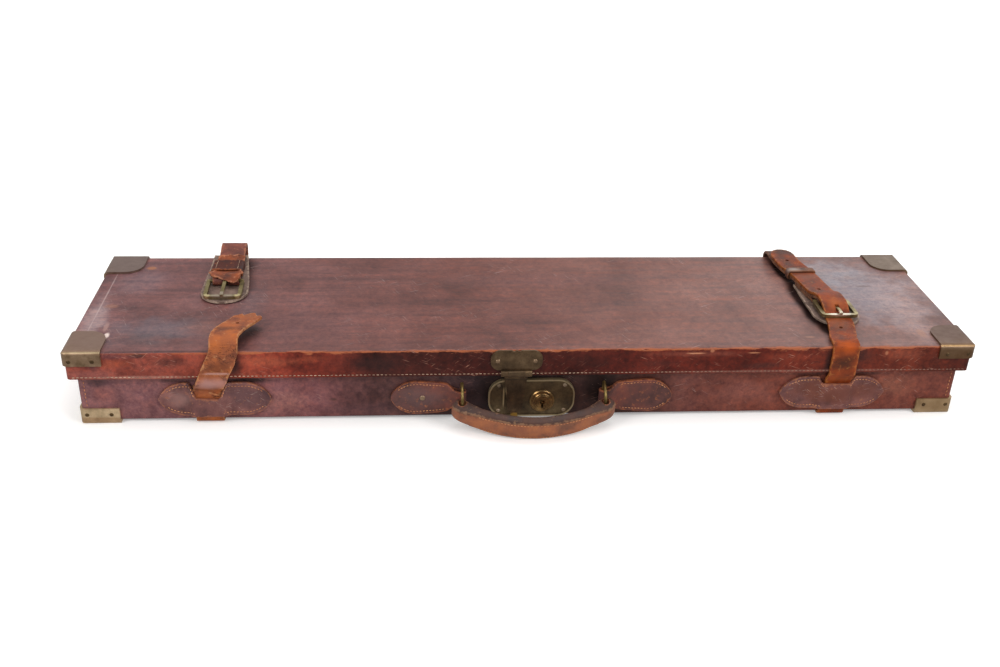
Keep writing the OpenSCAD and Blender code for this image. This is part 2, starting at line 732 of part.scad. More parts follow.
module handle_grip() color(strap_c)
    translate([handle_x, ring_y, ring_z]) rotate([droop, 0, 0]) {
        mid_r = grip_reach - grip_t / 2;
        rise = mid_r - ring_r;
        bow_r = (ring_span * ring_span / 4 + rise * rise) / (2 * rise);
        sweep = asin(ring_span / 2 / bow_r);
        difference() {
            intersection() {
                union() {
                    translate([0, bow_r - mid_r, 0]) rotate([0, 0, -90 - sweep])
                        rotate_extrude(angle = 2 * sweep) translate([bow_r, 0]) round_rect(grip_t, grip_w, grip_edge);
                    for (s = [-1, 1]) {
                        translate([s * ring_span / 2, -ring_r, 0]) rotate_extrude() {
                            translate([0, -9]) square([grip_end - 2, 18]);
                            translate([0, -7]) square([grip_end, 14]);
                            for (t = [-1, 1]) {
                                translate([grip_end - 2, t * 7]) circle(2);
                            }
                        }
                    }
                }
                front(-grip_reach - 5, 5) polygon([
                    [-ring_span / 2 - 12, -9.2], [-ring_span / 2 + 8, -9.2], [-ring_span / 2 + 24, -grip_w / 2 - 0.5],
                    [ring_span / 2 - 24, -grip_w / 2 - 0.5], [ring_span / 2 - 8, -9.2], [ring_span / 2 + 12, -9.2],
                    [ring_span / 2 + 12, 9.2], [ring_span / 2 - 8, 9.2], [ring_span / 2 - 24, grip_w / 2 + 0.5],
                    [-ring_span / 2 + 24, grip_w / 2 + 0.5], [-ring_span / 2 + 8, 9.2], [-ring_span / 2 - 12, 9.2]]);
            }
            for (s = [-1, 1]) {
                translate([s * ring_span / 2, 0, 0]) rotate([0, 90, 0])
                    rotate_extrude() translate([ring_r, 0]) circle(ring_wire + 0.5);
            }
        }
    }

// Straps under the base, held by loop patches front and rear

module strap_under(x) {
    difference() {
        slab(x - strap_w / 2, x + strap_w / 2, fy - bulge, ry + strap_t, 0, seam_z - 0.3);
        slab(x - strap_w, x + strap_w, fy - soft_gap, ry, under_z, seam_z);
    }
}

module strap_under_left() color(strap_c) difference() {
    strap_under(left_x);
    translate([mouth[0], fy - 5, mouth[1]]) rotate([0, lean, 0]) slab(-40, 40, -10, 20, 0, 50);
}

module strap_under_right() color(strap_c) difference() {
    strap_under(right_x);
    slab(right_x - 20, right_x + 20, fy - 10, fy + 5, mouth_z, seam_z + 1);
}

module loop_outline() {
    hw = loop_h / 2;
    u1 = loop_len / 2 - 24;
    c = (24 * 24 - hw * hw) / (2 * hw);
    square([2 * u1, loop_h], center = true);
    for (s = [0, 1]) {
        mirror([s, 0]) intersection() {
            translate([u1, -c]) circle(hw + c);
            translate([u1, c]) circle(hw + c);
            translate([u1 - 1, -hw]) square([40, 2 * hw]);
        }
    }
}

module front_loop_left() color(leather_dark) difference() {
    translate([left_x + 6, fy, loop_z]) loop_patch_at(-6);
    translate([mouth[0], fy, mouth[1]]) rotate([0, lean, 0]) slab(-14.5, 14.5, -20, 5, -0.2, 40);
}

// Patch that lies on the wall and lifts over the strap, the lift dx away from its middle
module loop_patch_at(dx) {
    intersection() {
        front(-20, 1) loop_outline();
        translate([dx, 0, 0]) loop_lift(soft_gap);
    }
}

module loop_lift(gap) {
    w = strap_w / 2 + 0.4;
    lift = gap + strap_t + 0.1;
    plan(-50, 50) polygon([
        [-80, 0], [-w - 5, 0], [-w, -lift + 0.4], [-w + 0.4, -lift], [w - 0.4, -lift], [w, -lift + 0.4],
        [w + 5, 0], [80, 0], [80, -loop_t], [w + 5.6, -loop_t], [w + 1.4, -lift - loop_t + 0.5],
        [w, -lift - loop_t], [-w, -lift - loop_t], [-w - 1.4, -lift - loop_t + 0.5],
        [-w - 5.6, -loop_t], [-80, -loop_t]]);
}

module front_loop_right() color(leather_dark) difference() {
    translate([right_x - 2.5, fy, loop_z]) loop_patch_at(2.5);
    slab(right_x - strap_w / 2 - 1.5, right_x + strap_w / 2 + 1.5, fy - 20, fy + 1, mouth_z, seam_z);
}

module rear_loops() color(leather_dark)
    for (x = [left_x, right_x]) {
        translate([x, ry, loop_z]) mirror([0, 1, 0]) intersection() {
            front(-20, 1) loop_outline();
            loop_lift(0);
        }
    }

// Loose end of the left strap: out of its loop, up the front and folded back over the lid

billet_axis = [fy - strap_mid - 0.4, strap_mid + soft_gap];

module strap_billet_left() color(strap_c) {
    face = lfy - soft_gap - strap_mid - 0.1;
    low = [billet_axis, [fy - 3.4, 4.6], [face + 1.4, 10.4], [face, 13.4], [face, 45]];
    high = curve([[face, 58], [face, 70], [face, 78], [face + 0.7, 83.6], [face + 4, 87.6], [face + 10, 89.4],
        [face + 22, 89.2], [face + 36, 87.8], [face + 50, 86.6], [face + 64, 86.4]]);
    intersection() {
        translate([mouth[0], 0, mouth[1]]) rotate([0, lean, 0]) {
            side(-strap_w / 2, strap_w / 2) union() {
                band(low, -strap_mid, strap_mid);
                translate(billet_axis) circle(strap_mid);
            }
        }
        slab(left_x - 60, left_x + 60, fy - 30, fy + 5, 0, 61);
    }
    intersection() {
        side(left_x - 60, left_x + 60) difference() {
            band(high, -strap_mid, strap_mid);
            translate([fy - 40, 50]) square([80, 11]);
        }
        union() {
            front(face - 5, face + 9) polygon([
                [left_x - 1.6, 60], [left_x + 26, 60], [left_x + 30, 75], [left_x + 31.5, 100], [left_x + 5.5, 100],
                [left_x + 4.4, 75]]);
            plan(80, 95) polygon([
                [left_x + 5.6, face + 8.9], [left_x + 31.4, face + 8.9], [left_x + 38, face + 24],
                [left_x + 47.5, face + 44], [left_x + 41, face + 50], [left_x + 38.4, face + 50.4],
                [left_x + 36, face + 54], [left_x + 31.5, face + 58.5], [left_x + 28, face + 58],
                [left_x + 20, face + 44], [left_x + 10, face + 24]]);
        }
    }
}

// Left strap behind: fixed piece on the lid's rear, then the stiff curled end with its buckle

module strap_rise_left() color(strap_c)
    slab(left_x - 1 - strap_w / 2, left_x - 1 + strap_w / 2, ry, ry + strap_t, lid_z0 + 0.3, curl_z - strap_mid - soft_gap);

left_path = curve([[lfy + left_heel_v, left_heel_z + heel_r + 0.08 + strap_mid],
    [lfy + left_heel_v + 5, left_heel_z + 2.9], [lfy + left_heel_v + 11, left_heel_z + 1.8],
    [lfy + left_heel_v + 19, left_heel_z + 1.1], [lfy + left_heel_v + 29, left_heel_z + 1.6],
    [ry - 32, lid_top + 11.3], [ry - 20, lid_top + 14.6], [ry - 10, lid_top + 16.7], [ry - 3.4, lid_top + 16.4],
    [ry + 0.9, lid_top + 13], [ry + 1.9, lid_top + 8], [curl_y, curl_z]]);

left_plan = [[left_cx, lfy + left_heel_v - 14], [left_cx, lfy + left_heel_v + 8], [left_x + 1, ry - 30], [left_x - 1, ry + 8]];

module strap_end_left() color(strap_c) difference() {
    intersection() {
        side(left_x - 40, left_x + 40) union() {
            band(left_path, -strap_mid, strap_mid);
            translate([curl_y, curl_z]) circle(strap_mid);
            intersection() {
                band(left_path, -strap_mid - strap_t, -strap_mid);
                translate([lfy + left_heel_v + 7, lid_top]) square([27, 30]);
            }
            translate([lfy + left_heel_v, left_heel_z]) circle(fold_r);
            polygon([[lfy + left_heel_v, left_heel_z - fold_r], [lfy + left_heel_v + 9, left_heel_z - 2.6],
                [lfy + left_heel_v + 9, left_heel_z + 1], [lfy + left_heel_v, left_heel_z + 1]]);
        }
        plan(lid_top, lid_top + 30) band(left_plan, -strap_w / 2, strap_w / 2);
    }
    translate([left_cx - 30, lfy + left_heel_v, left_heel_z]) rotate([0, 90, 0])
        cylinder(h = 60, r = heel_r + 0.08);
    slab(left_cx - 2.4, left_cx + 2.4, lfy + left_heel_v - 8, lfy + left_heel_v + 6.5, lid_top, lid_top + 12);
}

left_safe = curve([[lfy + left_heel_v - 41, lid_top + soft_gap + safe_t / 2], [lfy + left_heel_v - 20, lid_top + soft_gap + safe_t / 2],
    [lfy + left_heel_v, lid_top + soft_gap + safe_t / 2], [lfy + left_heel_v + 9, lid_top + soft_gap + safe_t / 2 + 0.6],
    [lfy + left_heel_v + 19, left_heel_z - 4.35], [lfy + left_heel_v + 29, left_heel_z - 3.95],
    [ry - 31.4, lid_top + 5.9], [ry - 18.6, lid_top + 9.4]]);

module safe_left() color(leather_dark) intersection() {
    side(left_x - 60, left_x + 60) band(left_safe, -safe_t / 2, safe_t / 2);
    plan(lid_top, lid_top + 30) union() {
        translate([left_cx, lfy + left_heel_v - 41 + safe_w / 2]) circle(safe_w / 2);
        polygon([[left_cx - safe_w / 2, lfy + left_heel_v - 41 + safe_w / 2], [left_cx + safe_w / 2, lfy + left_heel_v - 41 + safe_w / 2],
            [left_cx + safe_w / 2 - 1, lfy + left_heel_v + 4], [left_x + 17, ry - 14], [left_x - 16, ry - 14],
            [left_cx - safe_w / 2 + 1, lfy + left_heel_v + 4]]);
    }
}

module keeper_left() color(strap_c) difference() {
    intersection() {
        side(left_x - 40, left_x + 40) band(left_path, -strap_mid - strap_t, strap_mid + 3.5);
        plan(lid_top, lid_top + 30) intersection() {
            band(left_plan, -strap_w / 2 - 2.5, strap_w / 2 + 2.5);
            translate([left_x - 40, lfy + left_heel_v + 14]) square([80, 22]);
        }
    }
    intersection() {
        side(left_x - 40, left_x + 40) band(left_path, -strap_mid - strap_t - 1, strap_mid + 1.5);
        plan(lid_top - 5, lid_top + 30) band(left_plan, -strap_w / 2 - 0.5, strap_w / 2 + 0.5);
    }
}

// Buckle frame about its heel bar, reaching to -Y
module buckle_frame() {
    outer = frame_reach + frame_bar;
    difference() {
        translate([0, -outer / 2 + frame_bar / 2, -1.6]) linear_extrude(3.2) round_rect(frame_w, outer, 5);
        slab(-frame_w / 2 + frame_bar, frame_w / 2 - frame_bar, -frame_reach + frame_bar / 2, frame_bar, -3, 3);
    }
    translate([-frame_w / 2 + 1, 0, 0]) rotate([0, 90, 0]) cylinder(h = frame_w - 2, r = heel_r);
}

module prong_eye() {
    difference() {
        circle(heel_r + pin_gap + 1.4);
        circle(heel_r + pin_gap);
    }
}

module at_left_buckle() {
    translate([left_cx, lfy + left_heel_v, left_heel_z]) rotate([left_tilt, 0, 0]) children();
}

module buckle_frame_left() color(brass_c) at_left_buckle() buckle_frame();

module buckle_prong_left() color(brass_c) at_left_buckle() side(-1.6, 1.6) union() {
    prong_eye();
    difference() {
        band(curve([[-0.6, 2.4], [-8, 2.7], [-18, 2.8], [-26, 3.0], [-frame_reach, 3.1], [-frame_reach - 3, 3.1]]), -1.2, 1.2);
        circle(heel_r + pin_gap);
    }
}

// Right strap, buckled: the rear piece carries the buckle, the front piece passes through it

right_plan = curve([[right_x + 1.5, lfy - 30], [right_x + 1.5, lfy - 12], [right_x + 1.5, lfy + 10], [right_x + 5.4, lfy + 24],
    [right_x + 9.2, lfy + 45], [right_cx - 1.2, lfy + 64], [right_cx - 1.3, lfy + 80], [right_cx - 4.6, lfy + 96],
    [right_x + 4, lfy + 120], [right_x + 1.3, lfy + 143], [right_x - 3.2, lfy + 156], [right_x - 6.2, lfy + 170],
    [right_x - 7.2, ry - 16], [right_x - 6.6, ry + 12]]);
right_tip = curve([[right_x + 1.5, lfy - 30], [right_x + 1.5, lfy - 12], [right_x + 1.5, lfy + 10], [right_x + 5.4, lfy + 24],
    [right_x + 9.2, lfy + 45], [right_cx - 1.2, lfy + 64], [right_cx - 1.3, lfy + 80], [right_cx - 4.6, lfy + 96],
    [right_x + 4, lfy + 120], [right_x + 1.3, lfy + 143], [right_x - 2.8, lfy + 156], [right_x - 5.4, lfy + 166],
    [right_x - 6.8, lfy + 178]]);

right_rear_path = curve([[lfy + right_heel_v, right_heel_z + heel_r + 0.08 + strap_mid],
    [lfy + right_heel_v + 5, right_heel_z + 2.4], [lfy + right_heel_v + 12, right_heel_z + 0.6],
    [lfy + right_heel_v + 20, right_heel_z - 0.2], [lfy + right_heel_v + 46, right_heel_z - 0.3],
    [lfy + right_heel_v + 62, lid_top + 5.8], [lfy + right_heel_v + 82, lid_top + 5.5], [ry - 16, lid_top + 5.8],
    [ry - 6, lid_top + 4.9], [ry - 1.4, lid_top + 2.6], [ry + strap_mid - 0.2, lid_top - 0.8],
    [ry + strap_mid + 0.1, lid_top - 4], [ry + strap_mid + 0.1, lid_top - 10], [ry + strap_mid + 0.05, lid_z0 + 12], [ry + strap_mid + 0.05, lid_z0 + 0.3]]);

module strap_rear_right() color(strap_c) difference() {
    intersection() {
        side(right_x - 40, right_x + 40) union() {
            band(right_rear_path, -strap_mid, strap_mid);
            intersection() {
                band(right_rear_path, -strap_mid - strap_t, -strap_mid);
                translate([lfy + right_heel_v + 8, safe_top]) square([40, 20]);
            }
            translate([lfy + right_heel_v, right_heel_z]) circle(fold_r);
            polygon([[lfy + right_heel_v, right_heel_z - fold_r], [lfy + right_heel_v + 9, safe_top],
                [lfy + right_heel_v + 9, right_heel_z + 0.4], [lfy + right_heel_v, right_heel_z + 1]]);
        }
        plan(lid_z0, lid_top + 30) band(right_plan, -strap_w / 2, strap_w / 2);
    }
    translate([right_cx - 30, lfy + right_heel_v, right_heel_z]) rotate([0, 90, 0])
        cylinder(h = 60, r = heel_r + 0.08);
    slab(right_cx - 2.4, right_cx + 2.4, lfy + right_heel_v - 8, lfy + right_heel_v + 6.5, lid_top, lid_top + 12);
}

right_billet_path = curve([[fy - soft_gap - strap_mid, mouth_z + 0.6], [fy - soft_gap - strap_mid - 0.2, mouth_z + 1.8],
    [fy - soft_gap - strap_mid - 2.6, mouth_z + 6],
    [lfy - strap_mid - 0.05, seam_z - 1.6], [lfy - strap_mid - 0.05, seam_z + 4], [lfy - strap_mid - 0.05, seam_z + 12],
    [lfy - strap_mid - 0.05, lid_top - 9], [lfy - strap_mid - 0.1, lid_top - 3.4], [lfy - strap_mid + 0.4, lid_top - 0.2], [lfy + 1.8, lid_top + 2.5],
    [lfy + 6, lid_top + 3.2], [lfy + 14, lid_top + 2.8], [lfy + 24, lid_top + 2.7], [lfy + 33, lid_top + 3.4],
    [lfy + right_heel_v - 41, safe_top + 1.6], [lfy + right_heel_v - 30, safe_top + 1.45],
    [lfy + right_heel_v - 23, safe_top + 2.2], [lfy + right_heel_v - 13, safe_top + 6.2],
    [lfy + right_heel_v - 5, right_heel_z + fold_r + 1.1], [lfy + right_heel_v + 1, right_heel_z + fold_r + 1.5],
    [lfy + right_heel_v + 7, right_heel_z + 5.4], [lfy + right_heel_v + 13, right_heel_z + 3.6],
    [lfy + right_heel_v + 20, right_heel_z + 2.6], [lfy + right_heel_v + 46, right_heel_z + 2.4],
    [lfy + right_heel_v + 62, lid_top + 8.7], [lfy + right_heel_v + 82, lid_top + 8.5], [ry - 10, lid_top + 8.8]]);

module strap_billet_right() color(strap_c) difference() {
    intersection() {
        side(right_x - 40, right_x + 40) band(right_billet_path, -strap_mid, strap_mid);
        plan(30, lid_top + 30) union() {
            band(right_tip, -strap_w / 2, strap_w / 2);
            translate([right_x - 6.8, lfy + 178]) circle(strap_w / 2);
        }
    }
    for (h = [[7, 30], [7, 97], [2.8, 130], [-5.8, 167]]) {
        translate([right_x + h[0], lfy + h[1], lid_top - 2]) cylinder(h = 18, r = 1.6);
    }
    slab(right_cx - 1.9, right_cx + 1.9, lfy + right_heel_v - 14, lfy + right_heel_v - 3.6, lid_top, lid_top + 20);
}

module safe_right() color(leather_dark) plan(lid_top, safe_top) union() {
    translate([right_cx, lfy + right_heel_v - 40 + safe_w / 2]) circle(safe_w / 2);
    polygon([[right_cx - safe_w / 2, lfy + right_heel_v - 40 + safe_w / 2], [right_cx + safe_w / 2, lfy + right_heel_v - 40 + safe_w / 2],
        [right_cx + safe_w / 2 - 1, lfy + right_heel_v + 8], [right_x + 23, lfy + right_heel_v + 50],
        [right_x - 10, lfy + right_heel_v + 50], [right_cx - safe_w / 2 + 1, lfy + right_heel_v + 8]]);
}

module keeper_right() color(strap_c) difference() {
    intersection() {
        side(right_x - 60, right_x + 60) translate([lfy + right_heel_v + 58, lid_top + 2.4]) square([10, 10.8]);
        plan(lid_top, lid_top + 30) band(right_plan, -strap_w / 2 - 3, strap_w / 2 + 3);
    }
    intersection() {
        side(right_x - 60, right_x + 60) band(right_rear_path, -strap_mid, 5.4);
        plan(lid_top - 1, lid_top + 30) band(right_plan, -strap_w / 2 - 1.2, strap_w / 2 + 1.2);
    }
}

module at_right_buckle() {
    translate([right_cx, lfy + right_heel_v, right_heel_z]) children();
}

module buckle_frame_right() color(brass_c) at_right_buckle() buckle_frame();

module buckle_prong_right() color(brass_c) at_right_buckle() side(-1.6, 1.6) union() {
    prong_eye();
    difference() {
        band(curve([[-1.6, 1.8], [-5, 3.4], [-8.6, 4.8], [-13, 5.3], [-20, 4.6], [-frame_reach, 3], [-frame_reach - 3, 2.9]]), -1.2, 1.2);
        circle(heel_r + pin_gap);
    }
}

base_bottom_board();
base_front_board();
base_rear_board();
base_end_boards();
base_leather();
base_lining();
long_divider();
cross_dividers();
base_corner_front_left();
base_corner_front_right();
base_corner_rear_left();
base_corner_rear_right();
base_corner_nails();
lock_plate();
lock_nails();
key_boss();
lock_case();
lock_bolt();
base_hinge_leaves();
hinge_pins();
handle_chape_left();
handle_chape_right();
handle_ring_left();
handle_ring_right();
handle_grip();
strap_under_left();
strap_under_right();
front_loop_left();
front_loop_right();
rear_loops();
strap_billet_left();
lid_top_board();
lid_front_board();
lid_rear_board();
lid_end_boards();
lid_leather();
lid_lining();
lid_corner_front_left();
lid_corner_front_right();
lid_corner_rear_left();
lid_corner_rear_right();
lid_corner_nails();
lid_hinge_leaves();
hasp_plate();
hasp_rivets();
hasp_pin();
hasp();
hasp_staple();
strap_rise_left();
strap_end_left();
safe_left();
keeper_left();
buckle_frame_left();
buckle_prong_left();
strap_rear_right();
strap_billet_right();
safe_right();
keeper_right();
buckle_frame_right();
buckle_prong_right();
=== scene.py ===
import math
import bmesh
import bpy
import numpy as np
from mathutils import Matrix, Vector, noise


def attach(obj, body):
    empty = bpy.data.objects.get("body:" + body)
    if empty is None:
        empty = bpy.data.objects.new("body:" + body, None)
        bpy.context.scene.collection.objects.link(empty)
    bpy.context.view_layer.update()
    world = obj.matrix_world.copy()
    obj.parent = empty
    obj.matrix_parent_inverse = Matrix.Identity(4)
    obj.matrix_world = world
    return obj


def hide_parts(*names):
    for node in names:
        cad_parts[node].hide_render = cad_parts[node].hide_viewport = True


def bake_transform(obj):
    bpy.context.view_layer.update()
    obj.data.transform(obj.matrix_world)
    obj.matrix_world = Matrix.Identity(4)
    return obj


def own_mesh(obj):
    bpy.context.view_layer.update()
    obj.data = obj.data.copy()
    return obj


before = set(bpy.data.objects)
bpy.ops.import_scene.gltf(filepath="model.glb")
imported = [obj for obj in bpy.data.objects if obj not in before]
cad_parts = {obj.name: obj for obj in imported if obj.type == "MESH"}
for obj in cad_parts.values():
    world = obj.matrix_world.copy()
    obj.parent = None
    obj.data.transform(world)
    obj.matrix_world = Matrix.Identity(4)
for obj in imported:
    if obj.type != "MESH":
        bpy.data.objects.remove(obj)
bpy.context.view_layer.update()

mm = 0.001
threadSeed = 7


def tint(code):  # sRGB hex to the linear colour that a socket wants
    channels = [int(code[i:i + 2], 16) / 255 for i in (1, 3, 5)]
    return tuple(c / 12.92 if c <= 0.04045 else ((c + 0.055) / 1.055) ** 2.4 for c in channels) + (1.0,)


def feed(tree, node, inputs):  # a node or a socket is linked, a hex colour made linear, anything else is set
    for key, value in inputs.items():
        if isinstance(value, bpy.types.Node):
            value = next(out for out in value.outputs if out.enabled)
        if isinstance(value, bpy.types.NodeSocket):
            tree.links.new(value, node.inputs[key])
        else:
            node.inputs[key].default_value = tint(value) if isinstance(value, str) else value


def addNode(tree, kind, inputs=None, stops=(), **settings):
    made = tree.nodes.new("ShaderNode" + kind)
    for key, value in settings.items():
        setattr(made, key, value)
    feed(tree, made, inputs or {})
    if stops:
        ramp = made.color_ramp
        while len(ramp.elements) < len(stops):
            ramp.elements.new(0.5)
        for element, (spot, colour) in zip(ramp.elements, stops):
            element.position = spot
            element.color = tint(colour)
    return made


def newFinish(name):  # an empty material with its shader and the place on the object, ready for a pattern
    finish = bpy.data.materials.new(name)
    finish.use_nodes = True
    tree = finish.node_tree
    return finish, tree, tree.nodes["Principled BSDF"], addNode(tree, "TexCoord").outputs["Object"]


mixColour = {"data_type": "RGBA", "clamp_factor": True}
mixDarken = {**mixColour, "blend_type": "MULTIPLY"}
mixOverlay = {**mixColour, "blend_type": "OVERLAY"}

# Camera at the photograph's viewing angle

cameraFacts = {
    "place": (-109.13, -971.09, 565.39),  # mm in the case's own frame
    "pitch": 28.012,
    "yaw": 5.108,
    "roll": 1.983,
    "focalPixels": 1130.3,
    "imageWide": 1000,
    "sensor": 36.0,
}


def buildCamera(facts):
    lens = bpy.data.cameras.new("viewCamera")
    eye = bpy.data.objects.new("viewCamera", lens)
    bpy.context.scene.collection.objects.link(eye)
    lens.sensor_width = facts["sensor"]
    lens.lens = facts["focalPixels"] * facts["sensor"] / facts["imageWide"]
    lens.clip_start = 0.01
    lens.clip_end = 40.0
    pitch, yaw, roll = (math.radians(facts[k]) for k in ("pitch", "yaw", "roll"))
    ahead = Vector((math.sin(yaw) * math.cos(pitch), math.cos(yaw) * math.cos(pitch), -math.sin(pitch)))
    right = Vector((math.cos(yaw), -math.sin(yaw), 0))
    upward = right.cross(ahead)
    tiltedRight = right * math.cos(roll) + upward * math.sin(roll)
    tiltedUp = upward * math.cos(roll) - right * math.sin(roll)
    pose = eye.matrix_world.copy()
    for row in range(3):
        pose[row] = tiltedRight[row], tiltedUp[row], -ahead[row], facts["place"][row] * mm
    eye.matrix_world = pose
    bpy.context.scene.camera = eye


buildCamera(cameraFacts)
print("camera set")

# Studio: pale floor, white surroundings, soft lamps

studio = {
    "floorSide": 14.0,
    "floorColour": "#f4f3f1",
    "worldStrength": 0.50,
    "shineFront": 0.10,  # what polished things see on the camera's side, and behind the case
    "shineRear": 0.55,
    "floorShine": 0.40,
    "floorLift": 0.26,  # how white the floor looks to the camera beside the case, and from how far it is all white
    "liftNear": 0.9,
    "liftFar": 3.2,
    "lamps": [  # name, place m, aim m, size m, watts
        ("leftSoftbox", (-1.35, -1.15, 1.35), (-0.1, 0, 0.05), 0.9, 15),
        ("rightSoftbox", (1.35, -1.15, 1.35), (0.1, 0, 0.05), 0.9, 16),
        ("skySoftbox", (0.3, 0.5, 2.4), (0, 0, 0.05), 2.0, 30),
        ("rearSheen", (1.3, 2.4, 1.1), (0.1, 0, 0.05), 1.4, 7),
    ],
}


def buildStudio(facts):
    bpy.ops.object.select_all(action="DESELECT")
    bpy.ops.mesh.primitive_plane_add(size=facts["floorSide"], location=(0, 0, 0))
    floor = bpy.context.object
    floor.name = "studioFloor"
    finish, tree, shader, place = newFinish("mattePaperSweep")
    tree.nodes.remove(shader)
    seen = addNode(tree, "LightPath").outputs
    paper = addNode(tree, "BsdfDiffuse", {"Color": facts["floorColour"]})
    away = addNode(tree, "VectorMath", {0: place}, operation="LENGTH")
    whiter = addNode(tree, "MapRange", {"Value": away, "From Min": facts["liftNear"], "From Max": facts["liftFar"],
                                        "To Min": facts["floorLift"]}, interpolation_type="SMOOTHSTEP")
    lift = addNode(tree, "Math", {0: seen["Is Camera Ray"], 1: whiter}, operation="MULTIPLY")
    both = addNode(tree, "AddShader", {0: paper, 1: addNode(tree, "Emission", {"Strength": lift})})
    dim = addNode(tree, "Emission", {"Strength": facts["floorShine"]})
    shown = addNode(tree, "MixShader", {0: seen["Is Glossy Ray"], 1: both, 2: dim})
    feed(tree, tree.nodes["Material Output"], {"Surface": shown})
    floor.data.materials.append(finish)

    world = bpy.data.worlds.new("studioAir")
    bpy.context.scene.world = world
    world.use_nodes = True
    air = world.node_tree
    seen = addNode(air, "LightPath").outputs
    parts = addNode(air, "SeparateXYZ", {0: addNode(air, "TexCoord").outputs["Generated"]})
    shine = addNode(air, "MapRange", {"Value": parts.outputs["Y"], "From Min": -0.3, "From Max": 0.6,
                                      "To Min": facts["shineFront"], "To Max": facts["shineRear"]})
    polished = addNode(air, "Mix", {0: seen["Is Glossy Ray"], 2: facts["worldStrength"], 3: shine})
    strength = addNode(air, "Mix", {0: seen["Is Camera Ray"], 2: polished, 3: 1.0})
    feed(air, air.nodes["Background"], {"Color": "#ffffff", "Strength": strength})

    for name, place, aim, size, watts in facts["lamps"]:
        light = bpy.data.lights.new(name, "AREA")
        light.energy = watts
        light.size = size
        lamp = bpy.data.objects.new(name, light)
        bpy.context.scene.collection.objects.link(lamp)
        lamp.location = place
        lamp.rotation_euler = (Vector(aim) - Vector(place)).to_track_quat("-Z", "Y").to_euler()
    bpy.context.scene.view_settings.view_transform = "Standard"


buildStudio(studio)
print("studio lit")

# Patterns that the finishes share. Blots are colour, centre mm, half size mm, strength


def stained(tree, place, rim, below, blots, ragged, soft):  # each blot's rim is broken up by the noise
    if not blots:
        return below
    broken = addNode(tree, "Math", {0: rim, 1: -2 * ragged, 2: ragged}, operation="MULTIPLY_ADD")
    for colour, centre, size, strength in blots:
        away = addNode(tree, "VectorMath", {0: place, 1: [c * mm for c in centre]}, operation="SUBTRACT")
        scaled = addNode(tree, "VectorMath", {0: away, 1: [1 / (s * mm) for s in size]}, operation="MULTIPLY")
        far = addNode(tree, "VectorMath", {0: scaled}, operation="LENGTH")
        reach = addNode(tree, "Math", {0: far, 1: broken}, operation="ADD")
        mask = addNode(tree, "MapRange", {"Value": reach, "From Min": 1.0, "From Max": 1.0 - soft, "To Max": strength},
                       interpolation_type="SMOOTHSTEP")
        below = addNode(tree, "Mix", {0: mask, 6: below, 7: colour}, **mixColour)
    return below


def scratched(tree, place, below, marks):
    # short scuff lines: noise drawn out along one direction, of which only the peaks are kept
    for colour, amount, streak, turn in marks:
        drawn = addNode(tree, "Mapping", {"Rotation": turn, "Scale": [length * mm for length in streak],
                                          "Vector": place}, vector_type="TEXTURE")
        lines = addNode(tree, "TexNoise", {"Scale": 1.0, "Detail": 2.0, "Vector": drawn})
        rarely = addNode(tree, "TexNoise", {"Scale": 19.0, "Detail": 2.0, "Vector": place})
        thin = addNode(tree, "MapRange", {"Value": lines, "From Min": 0.67, "From Max": 0.75})
        some = addNode(tree, "MapRange", {"Value": rarely, "From Min": 0.46, "From Max": 0.60, "To Max": amount})
        mask = addNode(tree, "Math", {0: thin, 1: some}, operation="MULTIPLY")
        below = addNode(tree, "Mix", {0: mask, 6: below, 7: colour}, **mixColour)
    return below


def mottled(tree, pattern, below, strength):
    # darker and plum where the pattern is low, lighter and warmer where it is high, the same on the whole
    tone = addNode(tree, "ValToRGB", {0: pattern}, [(0.35, "#9c939e"), (0.5, "#bcbcbc"), (0.65, "#dccfc6")])
    return addNode(tree, "Mix", {0: strength, 6: below, 7: tone}, **mixOverlay)


def grained(tree, place, below, scale, strength):
    grain = addNode(tree, "TexNoise", {"Scale": scale, "Detail": 6.0, "Roughness": 0.78, "Vector": place})
    return mottled(tree, grain, below, strength)


def rubbedEdge(tree, place, parts, below, facts):
    # the stain rubs off along an edge and the tan of the hide shows, in a ragged band; the left end kept its stain
    nearRim, near, least = facts["band"]
    band = addNode(tree, "MapRange", {"Value": parts.outputs[facts["axis"]], "From Min": nearRim * mm,
                                      "From Max": near * mm, "To Min": least})
    stretch = addNode(tree, "Mapping", {"Scale": facts["stretch"], "Vector": place})
    chips = addNode(tree, "TexNoise", {"Scale": 1.5, "Detail": 5.0, "Roughness": facts["rough"], "Vector": stretch})
    ragged = addNode(tree, "Math", {0: chips, 1: facts["gain"][0], 2: facts["gain"][1]}, operation="MULTIPLY_ADD")
    level = addNode(tree, "Math", {0: ragged, 1: band}, operation="ADD")
    mask = addNode(tree, "MapRange", {"Value": level, "From Min": facts["cut"][0], "From Max": facts["cut"][1],
                                      "To Max": 0.9}, interpolation_type="SMOOTHSTEP")
    keep = addNode(tree, "MapRange", {"Value": parts.outputs["X"], "From Min": facts["kept"][0] * mm,
                                      "From Max": facts["kept"][1] * mm, "To Min": facts["kept"][2]})
    factor = addNode(tree, "Math", {0: mask, 1: keep}, operation="MULTIPLY")
    return addNode(tree, "Mix", {0: factor, 6: below, 7: facts["tan"]}, **mixColour)


def bumped(tree, shader, height, strength, depth):
    bump = addNode(tree, "Bump", {"Strength": strength, "Distance": depth * mm, "Height": height})
    feed(tree, shader, {"Normal": bump})


def polished(tree, shader, pattern, high, gloss):  # roughness runs from one end of gloss to the other with the pattern
    sheen = addNode(tree, "MapRange", {"Value": pattern, "From Min": 0.3, "From Max": high, "To Min": gloss[0],
                                       "To Max": gloss[1]})
    feed(tree, shader, {"Roughness": sheen})


# Bridle hide, stained and waxed: one ground for the lid's top, the lid's sides and the base


